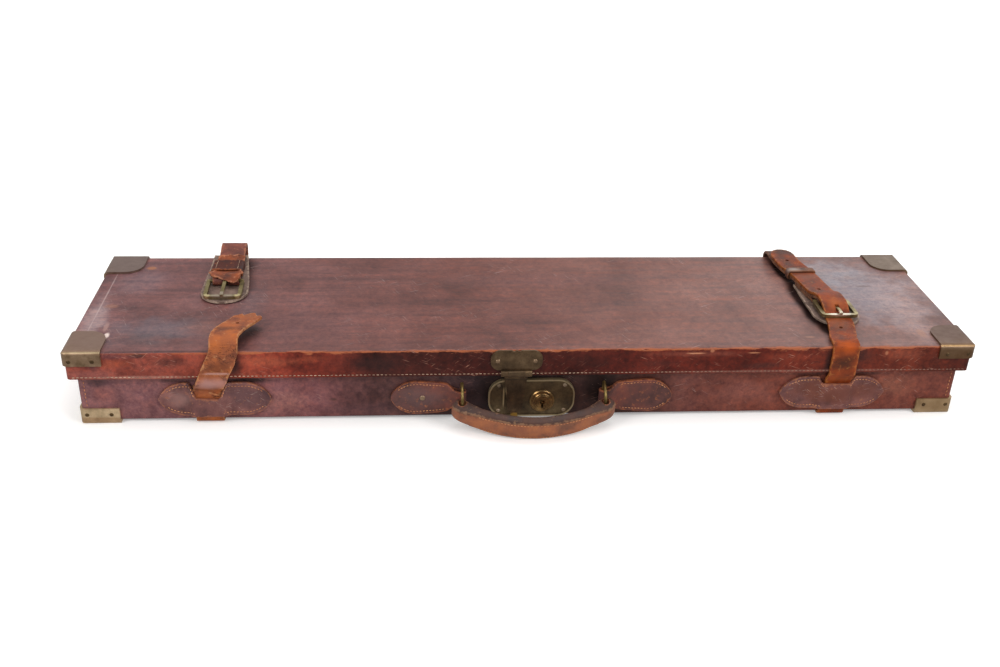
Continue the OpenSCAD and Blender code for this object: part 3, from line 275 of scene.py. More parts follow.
def hideGround(facts):
    # the colour changes from end to end of the case, by stain, with painted sheen towards the lid top's right end and
    # painted shadow in the base's middle; handling clouds it
    finish, tree, shader, place = newFinish(facts["name"])
    rim = addNode(tree, "TexNoise", {"Scale": 70.0, "Detail": 4.0, "Vector": place})
    parts = addNode(tree, "SeparateXYZ", {0: place})
    clouds = addNode(tree, "TexNoise", {"Scale": facts["clouds"][0], "Detail": 6.0, "Roughness": facts["clouds"][1],
                                        "Vector": place})
    half = facts["half"] * mm
    spread = addNode(tree, "MapRange", {"Value": parts.outputs["X"], "From Min": -half, "From Max": half})
    ground = addNode(tree, "ValToRGB", {0: spread}, facts["ground"])
    dark = addNode(tree, "ValToRGB", {0: clouds}, facts["handled"])
    colour = addNode(tree, "Mix", {0: facts["depth"], 6: ground, 7: dark}, **mixDarken)
    return finish, tree, shader, place, rim, parts, clouds, colour


def poredHide(tree, place, shader, grain, depth, creases):
    # pores a millimetre or so across, with longer creases under them
    pores = addNode(tree, "TexVoronoi", {"Scale": grain, "Smoothness": 0.6, "Vector": place}, feature="SMOOTH_F1")
    fibres = addNode(tree, "TexNoise", {"Scale": grain * 0.35, "Detail": 6.0, "Roughness": 0.65, "Vector": place})
    height = addNode(tree, "Mix", {0: 0.5, 2: pores, 3: fibres})
    folds = addNode(tree, "TexNoise", {"Scale": grain * 0.06, "Detail": 3.0, "Vector": place},
                    noise_type="RIDGED_MULTIFRACTAL")
    height = addNode(tree, "Math", {0: folds, 1: creases, 2: height}, operation="MULTIPLY_ADD")
    bumped(tree, shader, height, 0.55, depth)


lidTopLook = {
    "name": "waxedBridleHideTop", "clouds": (13.0, 0.62), "half": 412, "depth": 0.75,
    # lighter towards the right end: stain and painted sheen
    "ground": [(0.0, "#805b5c"), (0.42, "#72453d"), (0.72, "#80574d"), (1.0, "#8a6c66")],
    "handled": [(0.30, "#95746e"), (0.48, "#dccbc5"), (0.66, "#ffffff")],
    "brushed": [(0.32, "#a58d88"), (0.50, "#eee4e1"), (0.72, "#ffffff")],
    "blotsSheenAndShade": (
        # grey-blue beside the right strap: stain and painted sheen
        ("#7f7d86", (345, 25, 76), (85, 95, 40), 0.62),
        ("#8b898f", (322, 75, 76), (60, 45, 40), 0.5),
        ("#6a6168", (-335, -40, 76), (75, 32, 40), 0.55),
        ("#4c4246", (-352, -62, 76), (60, 22, 40), 0.5),
        # painted shadow to the right of the left buckle
        ("#5d5257", (-262, 10, 76), (22, 60, 40), 0.35),
        ("#6c5f66", (-375, 62, 76), (38, 40, 40), 0.35),
        ("#8c5238", (-293, -38, 76), (34, 22, 40), 0.3),
        ("#7b4f4a", (20, 60, 76), (150, 26, 40), 0.3),
        ("#5f3b3b", (-210, -32, 76), (95, 55, 40), 0.3),
        # paler at the right end: stain and painted sheen
        ("#a28a86", (375, -10, 76), (30, 90, 40), 0.45),
        ("#a08f8f", (-400, -20, 76), (16, 60, 40), 0.55),
        ("#57454a", (-388, 92, 76), (30, 18, 40), 0.4),
    ),
    "paintedShadowRight": (  # painted shadow of the buckled strap, with less sheen
        ("#2c1c1a", (280, 18, 76), (13.5, 58, 40), 0.95),
        ("#2c1c1a", (278, 82, 76), (10, 40, 40), 0.92),
        ("#2c1c1a", (281, -22, 76), (14, 34, 40), 0.95),
        ("#2c1c1a", (286, -50, 76), (13, 19, 40), 0.9),
        ("#2c1c1a", (289, -68, 76), (10, 14, 40), 0.85),
    ),
    "paintedShadowLeft": (  # painted shadow beside the left strap's curl and torn end, weaker where the end lifts off
        ("#3a2624", (-277, 90, 76), (17, 46, 40), 0.84),
        ("#3a2624", (-274, 50, 76), (17, 36, 40), 0.74),
        ("#3a2624", (-288, 17, 76), (28, 9, 40), 0.5),
        ("#3a2624", (-267, -72, 76), (15, 17, 40), 0.5),
        ("#3a2624", (-261, -59, 76), (15, 18, 40), 0.5),
        ("#3a2624", (-254, -46, 76), (14, 16, 40), 0.5),
    ),
    "scuffs": (
        ("#b59e9a", (-400.5, 14, 76), (0.9, 96, 40), 0.5),
        ("#9a6242", (-370, 91, 76), (6, 5, 9), 0.85),
        ("#8d5a45", (-391, 6, 76), (9, 6, 9), 0.6),
        ("#e0cbc2", (-382, -53, 76), (3.4, 7, 9), 1.0),
        ("#3a1f20", (-335, -83.6, 76), (72, 1.7, 9), 0.6),
        ("#a9837a", (-386, -38, 76), (3, 12, 9), 0.55),
        ("#46302d", (60, -12, 76), (14, 2.2, 9), 0.5),
        ("#4a3331", (-160, -52, 76), (8, 1.6, 9), 0.5),
        ("#9c6e57", (262, -66, 76), (6, 2.2, 9), 0.5),
        ("#5a4238", (352, 42, 76), (10, 2.4, 9), 0.5),
        ("#99694f", (372, -60, 76), (5, 9, 9), 0.45),
    ),
    "scratches": (
        ("#a68f8a", 0.6, (26, 1.1, 8), (0, 0, 0.5)),
        ("#4a3230", 0.6, (30, 1.5, 8), (0, 0, -0.12)),
        ("#b39c94", 0.5, (16, 0.9, 8), (0, 0, -1.1)),
    ),
    "edge": {"axis": "Y", "band": (-80.6, -85.8, -0.2), "stretch": (40, 160, 160), "rough": 0.7, "gain": (2.1, -1.15),
             "cut": (0.42, 0.75), "kept": (-330, -240, 0.0), "tan": "#9c5434"},
}


def waxedLidTop(facts):
    # plum-brown and waxed by hand: a soft sheen, brushed streaks along the case, stain blots with painted sheen in
    # the grey-blue and pale patches towards the right end and painted shadow beside the straps
    finish, tree, shader, place, rim, parts, clouds, colour = hideGround(facts)
    strokes = addNode(tree, "Mapping", {"Scale": (5, 95, 60), "Vector": place})
    streaks = addNode(tree, "TexNoise", {"Scale": 1.4, "Detail": 7.0, "Roughness": 0.68, "Distortion": 0.4,
                                         "Vector": strokes})
    brushed = addNode(tree, "ValToRGB", {0: streaks}, facts["brushed"])
    colour = addNode(tree, "Mix", {0: 0.45, 6: colour, 7: brushed}, **mixDarken)
    colour = stained(tree, place, rim, colour, facts["blotsSheenAndShade"], 0.5, 0.85)
    # painted shadow of the straps: a mask that darkens the colour and lowers the specular level
    shade = addNode(tree, "RGB")
    shade.outputs[0].default_value = (1, 1, 1, 1)
    shade = stained(tree, place, rim, shade, facts["paintedShadowRight"], 0.06, 0.55)
    shade = stained(tree, place, rim, shade, facts["paintedShadowLeft"], 0.1, 0.95)
    colour = addNode(tree, "Mix", {0: 1.0, 6: colour, 7: shade}, **mixDarken)
    colour = mottled(tree, streaks, colour, 0.36)
    colour = grained(tree, place, colour, 190.0, 0.75)
    colour = stained(tree, place, rim, colour, facts["scuffs"], 0.55, 0.6)
    colour = scratched(tree, place, colour, facts["scratches"])
    colour = rubbedEdge(tree, place, parts, colour, facts["edge"])
    shine = addNode(tree, "Math", {0: shade, 1: 0.42}, operation="MULTIPLY")
    feed(tree, shader, {"Base Color": colour, "Specular IOR Level": shine})
    polished(tree, shader, streaks, 0.75, (0.40, 0.58))
    poredHide(tree, place, shader, 850.0, 0.12, 0.35)
    return finish


lidWallLook = {
    "name": "rubbedBridleHideSide", "clouds": (26.0, 0.65), "half": 412, "depth": 0.9,
    "ground": [(0.08, "#8c4538"), (0.17, "#8f3f2c"), (0.25, "#8c3625"), (0.33, "#441912"), (0.52, "#46160e"),
               (0.62, "#642012"), (0.76, "#66200f"), (0.94, "#702d19")],
    "handled": [(0.32, "#7a625c"), (0.46, "#d6c4bc"), (0.60, "#ffffff")],
    "patches": (
        ("#1f1718", (-350, -86, 73), (11, 6, 3.2), 0.85),
        ("#2a1c1c", (-322, -86, 66), (22, 8, 7), 0.5),
        ("#9f4f35", (-235, -86, 66), (34, 8, 7), 0.5),
        ("#2a1817", (-140, -86, 62), (34, 8, 12), 0.6),
        ("#a04a2c", (-372, -86, 65), (24, 8, 6), 0.4),
        ("#98452b", (-196, -86, 68), (16, 8, 5), 0.4),
        ("#863722", (232, -86, 66), (34, 8, 5), 0.4),
        ("#321a17", (118, -86, 60), (20, 8, 6), 0.4),
        ("#2f1c1b", (300, -86, 66), (26, 8, 12), 0.65),
        ("#8a4530", (345, -86, 68), (30, 8, 8), 0.5),
        ("#3a2521", (215, -86, 57), (26, 8, 5), 0.45),
        ("#8b4a3a", (150, -86, 70), (60, 8, 4), 0.35),
        ("#2a0f0b", (52, -86, 62), (28, 8, 12), 0.5),
    ),
    "paintedShadeAndTones": (  # painted shadow beside the two straps, and plum towards the left corner
        ("#1c0e0d", (-266, -86, 64), (10, 8, 22), 0.75),
        ("#1c0e0d", (277, -86, 60), (7, 8, 26), 0.8),
        ("#6b3f40", (-372, -86, 72.5), (34, 8, 4.5), 0.6),
        ("#4c3236", (-388, -86, 65), (7, 8, 12), 0.6),
        ("#8a524c", (-392, -86, 54), (34, 8, 6), 0.5),
        ("#a8766a", (-350, -86, 51), (62, 8, 2.6), 0.55),
        ("#7e5248", (240, -86, 51), (190, 8, 2.2), 0.6),
    ),
    "edge": {"axis": "Z", "band": (69.5, 76.0, -0.3), "stretch": (38, 60, 190), "rough": 0.72, "gain": (2.4, -1.25),
             "cut": (0.40, 0.72), "kept": (-360, -250, 0.25), "tan": "#a35a38"},
    "chips": (
        ("#b87a58", (150, -86, 70.5), (11, 5, 1.0), 0.9),
        ("#b0714f", (205, -86, 70.5), (8, 5, 1.0), 0.85),
        ("#a96a4b", (165, -86, 73), (3, 5, 2.6), 0.8),
        ("#a96a4b", (330, -86, 69), (2.4, 5, 3.4), 0.7),
        ("#a5654a", (-30, -86, 72), (9, 5, 1.4), 0.7),
        # painted highlight along the upper edge at the left end
        ("#b58a88", (-352, -86.5, 75.9), (60, 3, 1.1), 0.75),
    ),
    "scratches": (
        ("#b98672", 0.75, (15, 8, 0.9), (0, 0.35, 0)),
        ("#b07a64", 0.7, (11, 8, 0.8), (0, -0.7, 0)),
        ("#2e1a18", 0.6, (14, 8, 1.4), (0, 0.08, 0)),
    ),
}


def rubbedLidWall(facts):
    # redder, darkened by hands in the middle, pale fine scuffs, the upper edge rubbed down to tan
    finish, tree, shader, place, rim, parts, clouds, colour = hideGround(facts)
    colour = stained(tree, place, rim, colour, facts["patches"], 0.5, 0.8)
    # painted shadow beside the straps, with plum and pale tones
    colour = stained(tree, place, rim, colour, facts["paintedShadeAndTones"], 0.2, 0.85)
    colour = grained(tree, place, colour, 230.0, 0.9)
    colour = rubbedEdge(tree, place, parts, colour, facts["edge"])
    # chips, with a painted highlight along the upper edge at the left end
    colour = stained(tree, place, rim, colour, facts["chips"], 0.6, 0.6)
    colour = scratched(tree, place, colour, facts["scratches"])
    feed(tree, shader, {"Base Color": colour, "Specular IOR Level": 0.25})
    polished(tree, shader, clouds, 0.7, (0.34, 0.5))
    poredHide(tree, place, shader, 800.0, 0.10, 0.3)
    return finish


baseWallLook = {
    "name": "dryBridleHideBase", "clouds": (20.0, 0.65), "half": 406, "depth": 0.85,
    # darker in the middle behind the lock and grip: dark hide and painted shadow
    "ground": [(0.0, "#8b6163"), (0.25, "#825355"), (0.34, "#694745"), (0.44, "#412f31"), (0.60, "#4b312b"),
               (0.68, "#6f4038"), (0.77, "#7b4133"), (1.0, "#7d4437")],
    "handled": [(0.30, "#85706f"), (0.48, "#dccfcc"), (0.66, "#ffffff")],
    "patches": (
        ("#93635a", (-225, -79, 20), (36, 8, 18), 0.45),
        ("#8f5147", (-385, -79, 30), (14, 8, 12), 0.4),
        ("#855046", (205, -79, 24), (50, 10, 18), 0.5),
        ("#3a2424", (254, -79, 36), (20, 10, 10), 0.5),
        ("#80503f", (345, -79, 30), (30, 10, 16), 0.45),
        ("#3b2826", (-180, -79, 22), (5, 6, 3), 0.7),
        ("#55393c", (-150, -79, 12), (60, 8, 9), 0.35),
        ("#35262c", (-388, -79, 42), (15, 8, 7), 0.7),
    ),
    "paintedShadeAndTones": (  # painted shadow of the lock and the grip over dark hide, and painted shadow under the lid over each patch
        ("#120b0b", (-6, -79, 26), (64, 12, 34), 0.9),
        ("#150d0d", (66, -79, 30), (26, 12, 26), 0.8),
        ("#1a0f0f", (-258, -79, 43), (30, 8, 4.5), 0.85),
        ("#2c1a19", (-316, -79, 43.5), (24, 8, 3), 0.6),
        ("#2c1a19", (262, -79, 43.5), (26, 8, 3), 0.5),
        ("#2c1a19", (318, -79, 43.5), (20, 8, 3), 0.5),
    ),
    "scratches": (
        ("#a88a80", 0.6, (13, 8, 0.9), (0, 0.6, 0)),
        ("#a07a6e", 0.6, (17, 8, 1.0), (0, -0.3, 0)),
        ("#35211f", 0.6, (16, 8, 1.6), (0, 0.05, 0)),
    ),
}


def plumBaseWall(facts):
    # older, drier hide below the seam: dull plum-brown with lighter worn clouds
    finish, tree, shader, place, rim, parts, clouds, colour = hideGround(facts)
    colour = stained(tree, place, rim, colour, facts["patches"], 0.5, 0.85)
    # painted shadow behind the lock and grip and under the lid's edge
    colour = stained(tree, place, rim, colour, facts["paintedShadeAndTones"], 0.3, 0.75)
    colour = grained(tree, place, colour, 210.0, 0.9)
    colour = scratched(tree, place, colour, facts["scratches"])
    feed(tree, shader, {"Base Color": colour, "Specular IOR Level": 0.26})
    polished(tree, shader, clouds, 0.7, (0.46, 0.62))
    poredHide(tree, place, shader, 750.0, 0.12, 0.4)
    return finish


# Harness hide of the straps, patches, pads and grip


def strapHide(name, light, mid, deep, cracks, scuff, gloss, blots=(), upper=None, pale=None):
    # oak-bark harness hide: tan at heart, darkened on the grain side, cracked across where it bends and
    # rubbed pale along its cut edges. The cracks run on the strap's own length and width
    finish, tree, shader, place = newFinish(name)
    lie = addNode(tree, "UVMap", uv_map="UVMap")
    rim = addNode(tree, "TexNoise", {"Scale": 70.0, "Detail": 4.0, "Vector": place})
    clouds = addNode(tree, "TexNoise", {"Scale": 55.0, "Detail": 6.0, "Roughness": 0.65, "Vector": place})
    colour = addNode(tree, "ValToRGB", {0: clouds}, [(0.34, deep), (0.5, mid), (0.66, light)])
    if upper:  # the side that lies uppermost is handled and grey
        facing = addNode(tree, "Attribute", attribute_name="upper").outputs["Fac"]
        greyed = addNode(tree, "MapRange", {"Value": facing, "From Min": 0.35, "From Max": 0.75, "To Max": 0.85},
                         interpolation_type="SMOOTHSTEP")
        colour = addNode(tree, "Mix", {0: greyed, 6: colour, 7: upper}, **mixColour)
    colour = stained(tree, place, rim, colour, blots, 0.5, 0.8)
    if pale:
        colour = scratched(tree, place, colour, ((pale, 0.7, (9, 8, 0.7), (0, 0.7, 0)),
                                                 (pale, 0.7, (12, 8, 0.7), (0, -0.25, 0))))
    stretch = addNode(tree, "Mapping", {"Scale": (430, 85, 1), "Vector": lie})
    folds = addNode(tree, "TexNoise", {"Scale": 1.0, "Detail": 4.0, "Roughness": 0.6, "Distortion": 0.5,
                                       "Vector": stretch})
    off = addNode(tree, "Math", {0: folds, 1: 0.5}, operation="SUBTRACT")
    far = addNode(tree, "Math", {0: off}, operation="ABSOLUTE")
    thin = addNode(tree, "MapRange", {"Value": far, "From Min": 0.022, "From Max": 0.004})
    where = addNode(tree, "TexNoise", {"Scale": 60.0, "Detail": 3.0, "Vector": place})
    some = addNode(tree, "MapRange", {"Value": where, "From Min": 0.46, "From Max": 0.62, "To Max": cracks})
    crack = addNode(tree, "Math", {0: thin, 1: some}, operation="MULTIPLY")
    colour = addNode(tree, "Mix", {0: crack, 6: colour, 7: "#241510"}, **mixColour)
    rubbed = addNode(tree, "TexNoise", {"Scale": 210.0, "Detail": 4.0, "Roughness": 0.7, "Vector": place})
    cut = addNode(tree, "Attribute", attribute_name="cutEdge").outputs["Fac"]
    edge = addNode(tree, "Math", {0: cut, 1: 0.20, 2: rubbed}, operation="MULTIPLY_ADD")
    worn = addNode(tree, "MapRange", {"Value": edge, "From Min": 0.59, "From Max": 0.72, "To Max": 0.65})
    colour = addNode(tree, "Mix", {0: worn, 6: colour, 7: scuff}, **mixColour)
    feed(tree, shader, {"Base Color": colour, "Specular IOR Level": 0.20})
    polished(tree, shader, clouds, 0.7, gloss)
    pores = addNode(tree, "TexNoise", {"Scale": 480.0, "Detail": 5.0, "Roughness": 0.7, "Vector": place})
    height = addNode(tree, "Math", {0: crack, 1: -0.9, 2: pores}, operation="MULTIPLY_ADD")
    bumped(tree, shader, height, 0.6, 0.25)
    return finish


def agedMetal(name, clean, dull, deep, rough, metal, marks=(), rim=None, size=70.0):
    # cast or pressed brass left to tarnish: brown film over the metal, thinner where hands rub, and brighter round
    # the rim of the lock plate, rubbed metal with a painted edge highlight: rim gives its colour, middle, half length,
    # half height, corner, width
    finish, tree, shader, place = newFinish(name)
    film = addNode(tree, "TexNoise", {"Scale": size, "Detail": 7.0, "Roughness": 0.68, "Vector": place})
    colour = addNode(tree, "ValToRGB", {0: film}, [(0.32, deep), (0.5, dull), (0.68, clean)])
    specks = addNode(tree, "TexNoise", {"Scale": 650.0, "Detail": 3.0, "Vector": place})
    dots = addNode(tree, "MapRange", {"Value": specks, "From Min": 0.62, "From Max": 0.72, "To Max": 0.5})
    colour = addNode(tree, "Mix", {0: dots, 6: colour, 7: deep}, **mixColour)
    if rim:
        bright, middle, half, corner, wide = rim
        away = addNode(tree, "VectorMath", {0: place, 1: [m * mm for m in middle]}, operation="SUBTRACT")
        positive = addNode(tree, "VectorMath", {0: away}, operation="ABSOLUTE")
        past = addNode(tree, "VectorMath", {0: positive, 1: [(half[0] - corner) * mm, 1.0, (half[1] - corner) * mm]},
                       operation="SUBTRACT")
        outside = addNode(tree, "VectorMath", {0: past, 1: (0, 0, 0)}, operation="MAXIMUM")
        far = addNode(tree, "VectorMath", {0: outside}, operation="LENGTH")
        ring = addNode(tree, "MapRange", {"Value": far, "From Min": (corner - wide) * mm,
                                          "From Max": (corner - wide * 0.4) * mm, "To Max": 0.85},
                       interpolation_type="SMOOTHSTEP")
        colour = addNode(tree, "Mix", {0: ring, 6: colour, 7: bright}, **mixColour)
    colour = stained(tree, place, film, colour, marks, 0.2, 0.5)
    feed(tree, shader, {"Base Color": colour, "Metallic": metal})
    polished(tree, shader, film, 0.7, rough[::-1])
    bumped(tree, shader, specks, 0.25, 0.05)
    return finish


def waxedThread(name, light, dark, blackened=None):
    # linen thread, waxed and dirty; towards the case's right end the cream one has taken the hide's colour
    finish, tree, shader, place = newFinish(name)
    dirt = addNode(tree, "TexNoise", {"Scale": 60.0, "Detail": 4.0, "Vector": place})
    colour = addNode(tree, "ValToRGB", {0: dirt}, [(0.36, dark), (0.6, light)])
    if blackened:
        parts = addNode(tree, "SeparateXYZ", {0: place})
        across = addNode(tree, "MapRange", {"Value": parts.outputs["X"], "From Min": 0.02, "From Max": 0.19,
                                            "To Max": 0.72})
        colour = addNode(tree, "Mix", {0: across, 6: colour, 7: blackened}, **mixColour)
    feed(tree, shader, {"Base Color": colour, "Roughness": 0.75})
    return finish


def oakBoard():
    # quarter-sawn oak, unvarnished: straight grain along the board, open pores
    finish, tree, shader, place = newFinish("quarterSawnOak")
    length = addNode(tree, "Mapping", {"Scale": (6, 220, 220), "Vector": place})
    grain = addNode(tree, "TexNoise", {"Scale": 1.0, "Detail": 6.0, "Roughness": 0.6, "Vector": length})
    colour = addNode(tree, "ValToRGB", {0: grain}, [(0.3, "#8a6a42"), (0.5, "#a98458"), (0.7, "#bd9a6c")])
    feed(tree, shader, {"Base Color": colour, "Roughness": 0.65})
    bumped(tree, shader, grain, 0.4, 0.1)
    return finish


def baizeCloth():
    # wine-red wool baize: fulled, so no weave shows, only soft nap and pressed patches
    finish, tree, shader, place = newFinish("fulledWoolBaize")
    nap = addNode(tree, "TexNoise", {"Scale": 1400.0, "Detail": 3.0, "Vector": place})
    pressed = addNode(tree, "TexNoise", {"Scale": 18.0, "Detail": 4.0, "Vector": place})
    colour = addNode(tree, "ValToRGB", {0: pressed}, [(0.35, "#521319"), (0.65, "#701d24")])
    fluff = addNode(tree, "ValToRGB", {0: nap}, [(0.3, "#b9a6a4"), (0.7, "#ffffff")])
    colour = addNode(tree, "Mix", {0: 0.8, 6: colour, 7: fluff}, **mixDarken)
    feed(tree, shader, {"Base Color": colour, "Roughness": 0.95, "Sheen Weight": 0.4, "Sheen Roughness": 0.4})
    bumped(tree, shader, nap, 0.5, 0.2)
    return finish


# Every finish by name: for hides light, mid and deep colour, cracks, rubbed edge, gloss, blots

lidTopFinish = waxedLidTop(lidTopLook)
lidWallFinish = rubbedLidWall(lidWallLook)
baseFinish = plumBaseWall(baseWallLook)
patchFinish = strapHide("darkPatchHide", "#855751", "#6e4744", "#4f3536", 0.2, "#a5684a", (0.45, 0.62), (
    ("#94706a", (-318, -82, 26), (18, 8, 12), 0.5),
    ("#553d41", (-258, -82, 27), (28, 8, 17), 0.65),
    ("#69392b", (288, -82, 26), (70, 8, 22), 0.8),
), pale="#cdb3a8")
chapeFinish = strapHide("chapePatchHide", "#7a4439", "#603c37", "#402b2a", 0.2, "#a8623c", (0.42, 0.6), (
    ("#664c4b", (-104, -82, 25), (34, 8, 18), 0.6),
    ("#4e3230", (106, -82, 25), (34, 8, 18), 0.55),
))
billetFinish = strapHide("crackedTanHarness", "#ad5f31", "#965332", "#6c3c2c", 1.0, "#bd8458", (0.52, 0.68), (
    # painted highlight on the lower part of the billet
    ("#a87c75", (-286, -86, 45), (26, 14, 9.5), 0.8),
    ("#a25a30", (-276, -84, 36), (9, 12, 4), 0.6),
    ("#653420", (-280, -87, 62), (16, 12, 8), 0.7),
    ("#bc938a", (-281, -87, 55.5), (20, 12, 1.8), 0.6),
    ("#5f3a29", (-272, -68, 88), (17, 6, 9), 0.6),
    ("#6f4a3c", (-258, -36, 87), (9, 9, 9), 0.5),
))
rightFinish = strapHide("tanHarness", "#923f16", "#783212", "#4c2315", 0.6, "#a4622f", (0.42, 0.58), (
    ("#ac4a0c", (291, -86, 77), (17, 10, 9), 0.85),
    ("#3d2216", (291, -88, 61), (15, 9, 10), 0.8),
    ("#8c421a", (291, -84, 42), (16, 9, 6), 0.55),
    ("#3d2923", (281, 98, 84), (18, 40, 14), 0.85),
    ("#7e4c34", (295, -47, 80), (17, 16, 12), 0.5),
    ("#b0602a", (299, -18, 84), (16, 13, 12), 0.6),
    ("#6c4c3d", (293, 48, 85), (18, 18, 12), 0.4),
))
plumStrapFinish = strapHide("darkHarness", "#85493c", "#6f3f36", "#52302c", 0.35, "#a56a4d", (0.4, 0.58))
frayedFinish = strapHide("frayedHarnessPly", "#994f2e", "#7e4128", "#553026", 0.7, "#b4785a", (0.5, 0.68))
keeperFinish = strapHide("keeperHide", "#552418", "#472018", "#341a16", 0.25, "#a05c38", (0.46, 0.62))
rearStrapFinish = strapHide("rearHarness", "#623e30", "#51332a", "#392622", 0.35, "#8c5f44", (0.44, 0.6), (
    # painted highlight on the left half of the right keeper
    ("#a8988f", (283, 57, 87), (10, 9, 4), 0.75),
    ("#84583e", (299, 57, 87), (10, 9, 4), 0.7),
))
padFinish = strapHide("greyPadHide", "#8e7669", "#7a645a", "#594840", 0.15, "#a8917f", (0.5, 0.66))
gripFinish = strapHide("handledGripHide", "#a96741", "#93593e", "#694637", 0.3, "#926c51", (0.38, 0.54), (
    ("#4b3a34", (30, -121, 14), (13, 12, 9), 0.55),
    ("#7a4a3c", (-10, -124, 10), (20, 9, 9), 0.5),
), "#352c2b")

# For metals clean, dull and deep colour, roughness where clean and where dull, how metallic, marks

brassFinish = agedMetal("tarnishedLidBrass", "#b4977b", "#987c61", "#735b42", (0.36, 0.52), 0.75, (
    ("#8f7468", (-390, -55, 81), (60, 60, 7), 0.85),
    ("#7f6d6a", (-390, 100, 81), (60, 60, 7), 0.8),
    ("#594139", (392, -55, 81), (60, 60, 7), 0.85),
    ("#5d4e42", (392, 100, 81), (60, 60, 7), 0.8),
    ("#5e3f22", (392, -90, 66), (50, 12, 12), 0.75),
    # painted highlight along the upper front edge of each lid corner
    ("#c8b48c", (-390, -88.5, 76.9), (40, 4, 1.1), 0.6),
    ("#a5824e", (392, -88.5, 76.9), (40, 4, 1.1), 0.6),
))
baseBrassFinish = agedMetal("paleBaseBrass", "#eacda4", "#ccb08a", "#978062", (0.36, 0.55), 0.6, (
    ("#93724d", (392, -80, 18), (50, 60, 24), 0.7),
    ("#9a6a40", (-392, -80, 4), (40, 20, 4), 0.5),
))
nailFinish = agedMetal("blackenedNailHead", "#816847", "#634d34", "#3f3020", (0.4, 0.55), 0.8)
hingeFinish = agedMetal("hingeBrass", "#a08a5a", "#84704a", "#5c4c34", (0.32, 0.5), 0.9)
ringFinish = agedMetal("dullYellowBrass", "#b39b62", "#967f4e", "#6b5736", (0.28, 0.45), 0.9)
buckleFinish = agedMetal("castBuckleBrass", "#a89a70", "#8a7c54", "#5e5237", (0.28, 0.48), 0.88, (
    ("#b9aa98", (-289, 14.8, 83.4), (15, 4, 6), 0.75),
    ("#e0cf9c", (-303.5, 15, 83.4), (4, 4, 6), 0.8),
    ("#e0cf9c", (-274.5, 15, 83.4), (4, 4, 6), 0.8),
    ("#57492f", (284, -20, 83), (4, 18, 6), 0.5),
    # painted highlight on the right buckle's front bar
    ("#e9e1d0", (300.5, -36.2, 85), (15, 4, 3), 0.85),
))
lockFinish = agedMetal("bronzedLockPlate", "#7a6348", "#5e4b38", "#3c2f24", (0.34, 0.52), 0.8, (
    ("#d0ba90", (-22.9, -86, 25), (1.0, 6, 15), 0.9),
    ("#c29a48", (-14, -86, 7.5), (5, 6, 2.4), 0.8),
))
lockNailFinish = agedMetal("rubbedLockNail", "#c0a890", "#a08a72", "#74624e", (0.3, 0.5), 0.7)
haspFinish = agedMetal("handledHaspPlate", "#856c50", "#6a543d", "#463729", (0.34, 0.52), 0.8)
# its rim: rubbed metal with a painted edge highlight
lockPlateFinish = agedMetal("rubbedHighlitLockPlate", "#7d6a4c", "#63523b", "#40352a", (0.34, 0.52), 0.75,
                            (("#c8b288", (-24.4, -82.8, 25), (1.0, 6, 14), 0.85),),
                            ("#b8a480", (1.5, -82.8, 23.4), (40.0, 19.3), 16.0, 2.0))
bossFinish = agedMetal("rubbedBossBrass", "#b8935f", "#8f7048", "#57432e", (0.26, 0.42), 0.85, size=160.0)
steelFinish = agedMetal("oldSteel", "#8b8884", "#6f6c69", "#4c4947", (0.3, 0.5), 0.95)
creamThread = waxedThread("creamLinenThread", "#c6a98e", "#84624f", "#6e4438")
orangeThread = waxedThread("rustLinenThread", "#da9560", "#a3623f")
oakFinish = oakBoard()
clothFinish = baizeCloth()
print("finishes made")


# Ways of working shared by the pieces


def calm():  # out of edit mode, nothing selected
    if bpy.context.object and bpy.context.object.mode != "OBJECT":
        bpy.ops.object.mode_set(mode="OBJECT")
    bpy.ops.object.select_all(action="DESELECT")


def take(piece, editing=False):  # this piece alone is selected and active
    calm()
    piece.select_set(True)
    bpy.context.view_layer.objects.active = piece
    if editing:
        bpy.ops.object.mode_set(mode="EDIT")


def addBlock(name, low, high):  # corners in mm
    calm()
    bpy.ops.mesh.primitive_cube_add(size=1, location=[(a + b) / 2 * mm for a, b in zip(low, high)],
                                    scale=[(b - a) * mm for a, b in zip(low, high)])
    piece = bpy.context.object
    piece.name = piece.data.name = name
    bpy.ops.object.transform_apply(location=True, rotation=True, scale=True)
    return piece


def addGrid(name, columns, rows):  # flat, 1 m a side, to be laid in place
    calm()
    bpy.ops.mesh.primitive_grid_add(x_subdivisions=columns, y_subdivisions=rows, size=1)
    piece = bpy.context.object
    piece.name = piece.data.name = name
    return piece


def pick(piece, kind, test):  # edit mode with the faces or edges that pass: test(middle in mm, facing or run)
    take(piece, editing=True)
    bpy.ops.mesh.select_mode(type=kind)
    bpy.ops.mesh.select_all(action="DESELECT")
    mesh = bmesh.from_edit_mesh(piece.data)
    for part in (mesh.faces if kind == "FACE" else mesh.edges):
        if kind == "FACE":
            spot, facing = part.calc_center_median(), part.normal
        else:
            spot = (part.verts[0].co + part.verts[1].co) / 2
            facing = (part.verts[1].co - part.verts[0].co).normalized()
        if test(spot / mm, facing):
            part.select_set(True)
    bmesh.update_edit_mesh(piece.data)


def roundOff(piece, radius, segments, test):  # the edges that pass are rounded
    pick(piece, "EDGE", test)
    bpy.ops.mesh.bevel(offset=radius * mm, segments=segments)


def cutOut(piece, test):  # the faces that pass are taken off
    pick(piece, "FACE", test)
    bpy.ops.mesh.delete(type="FACE")
    calm()


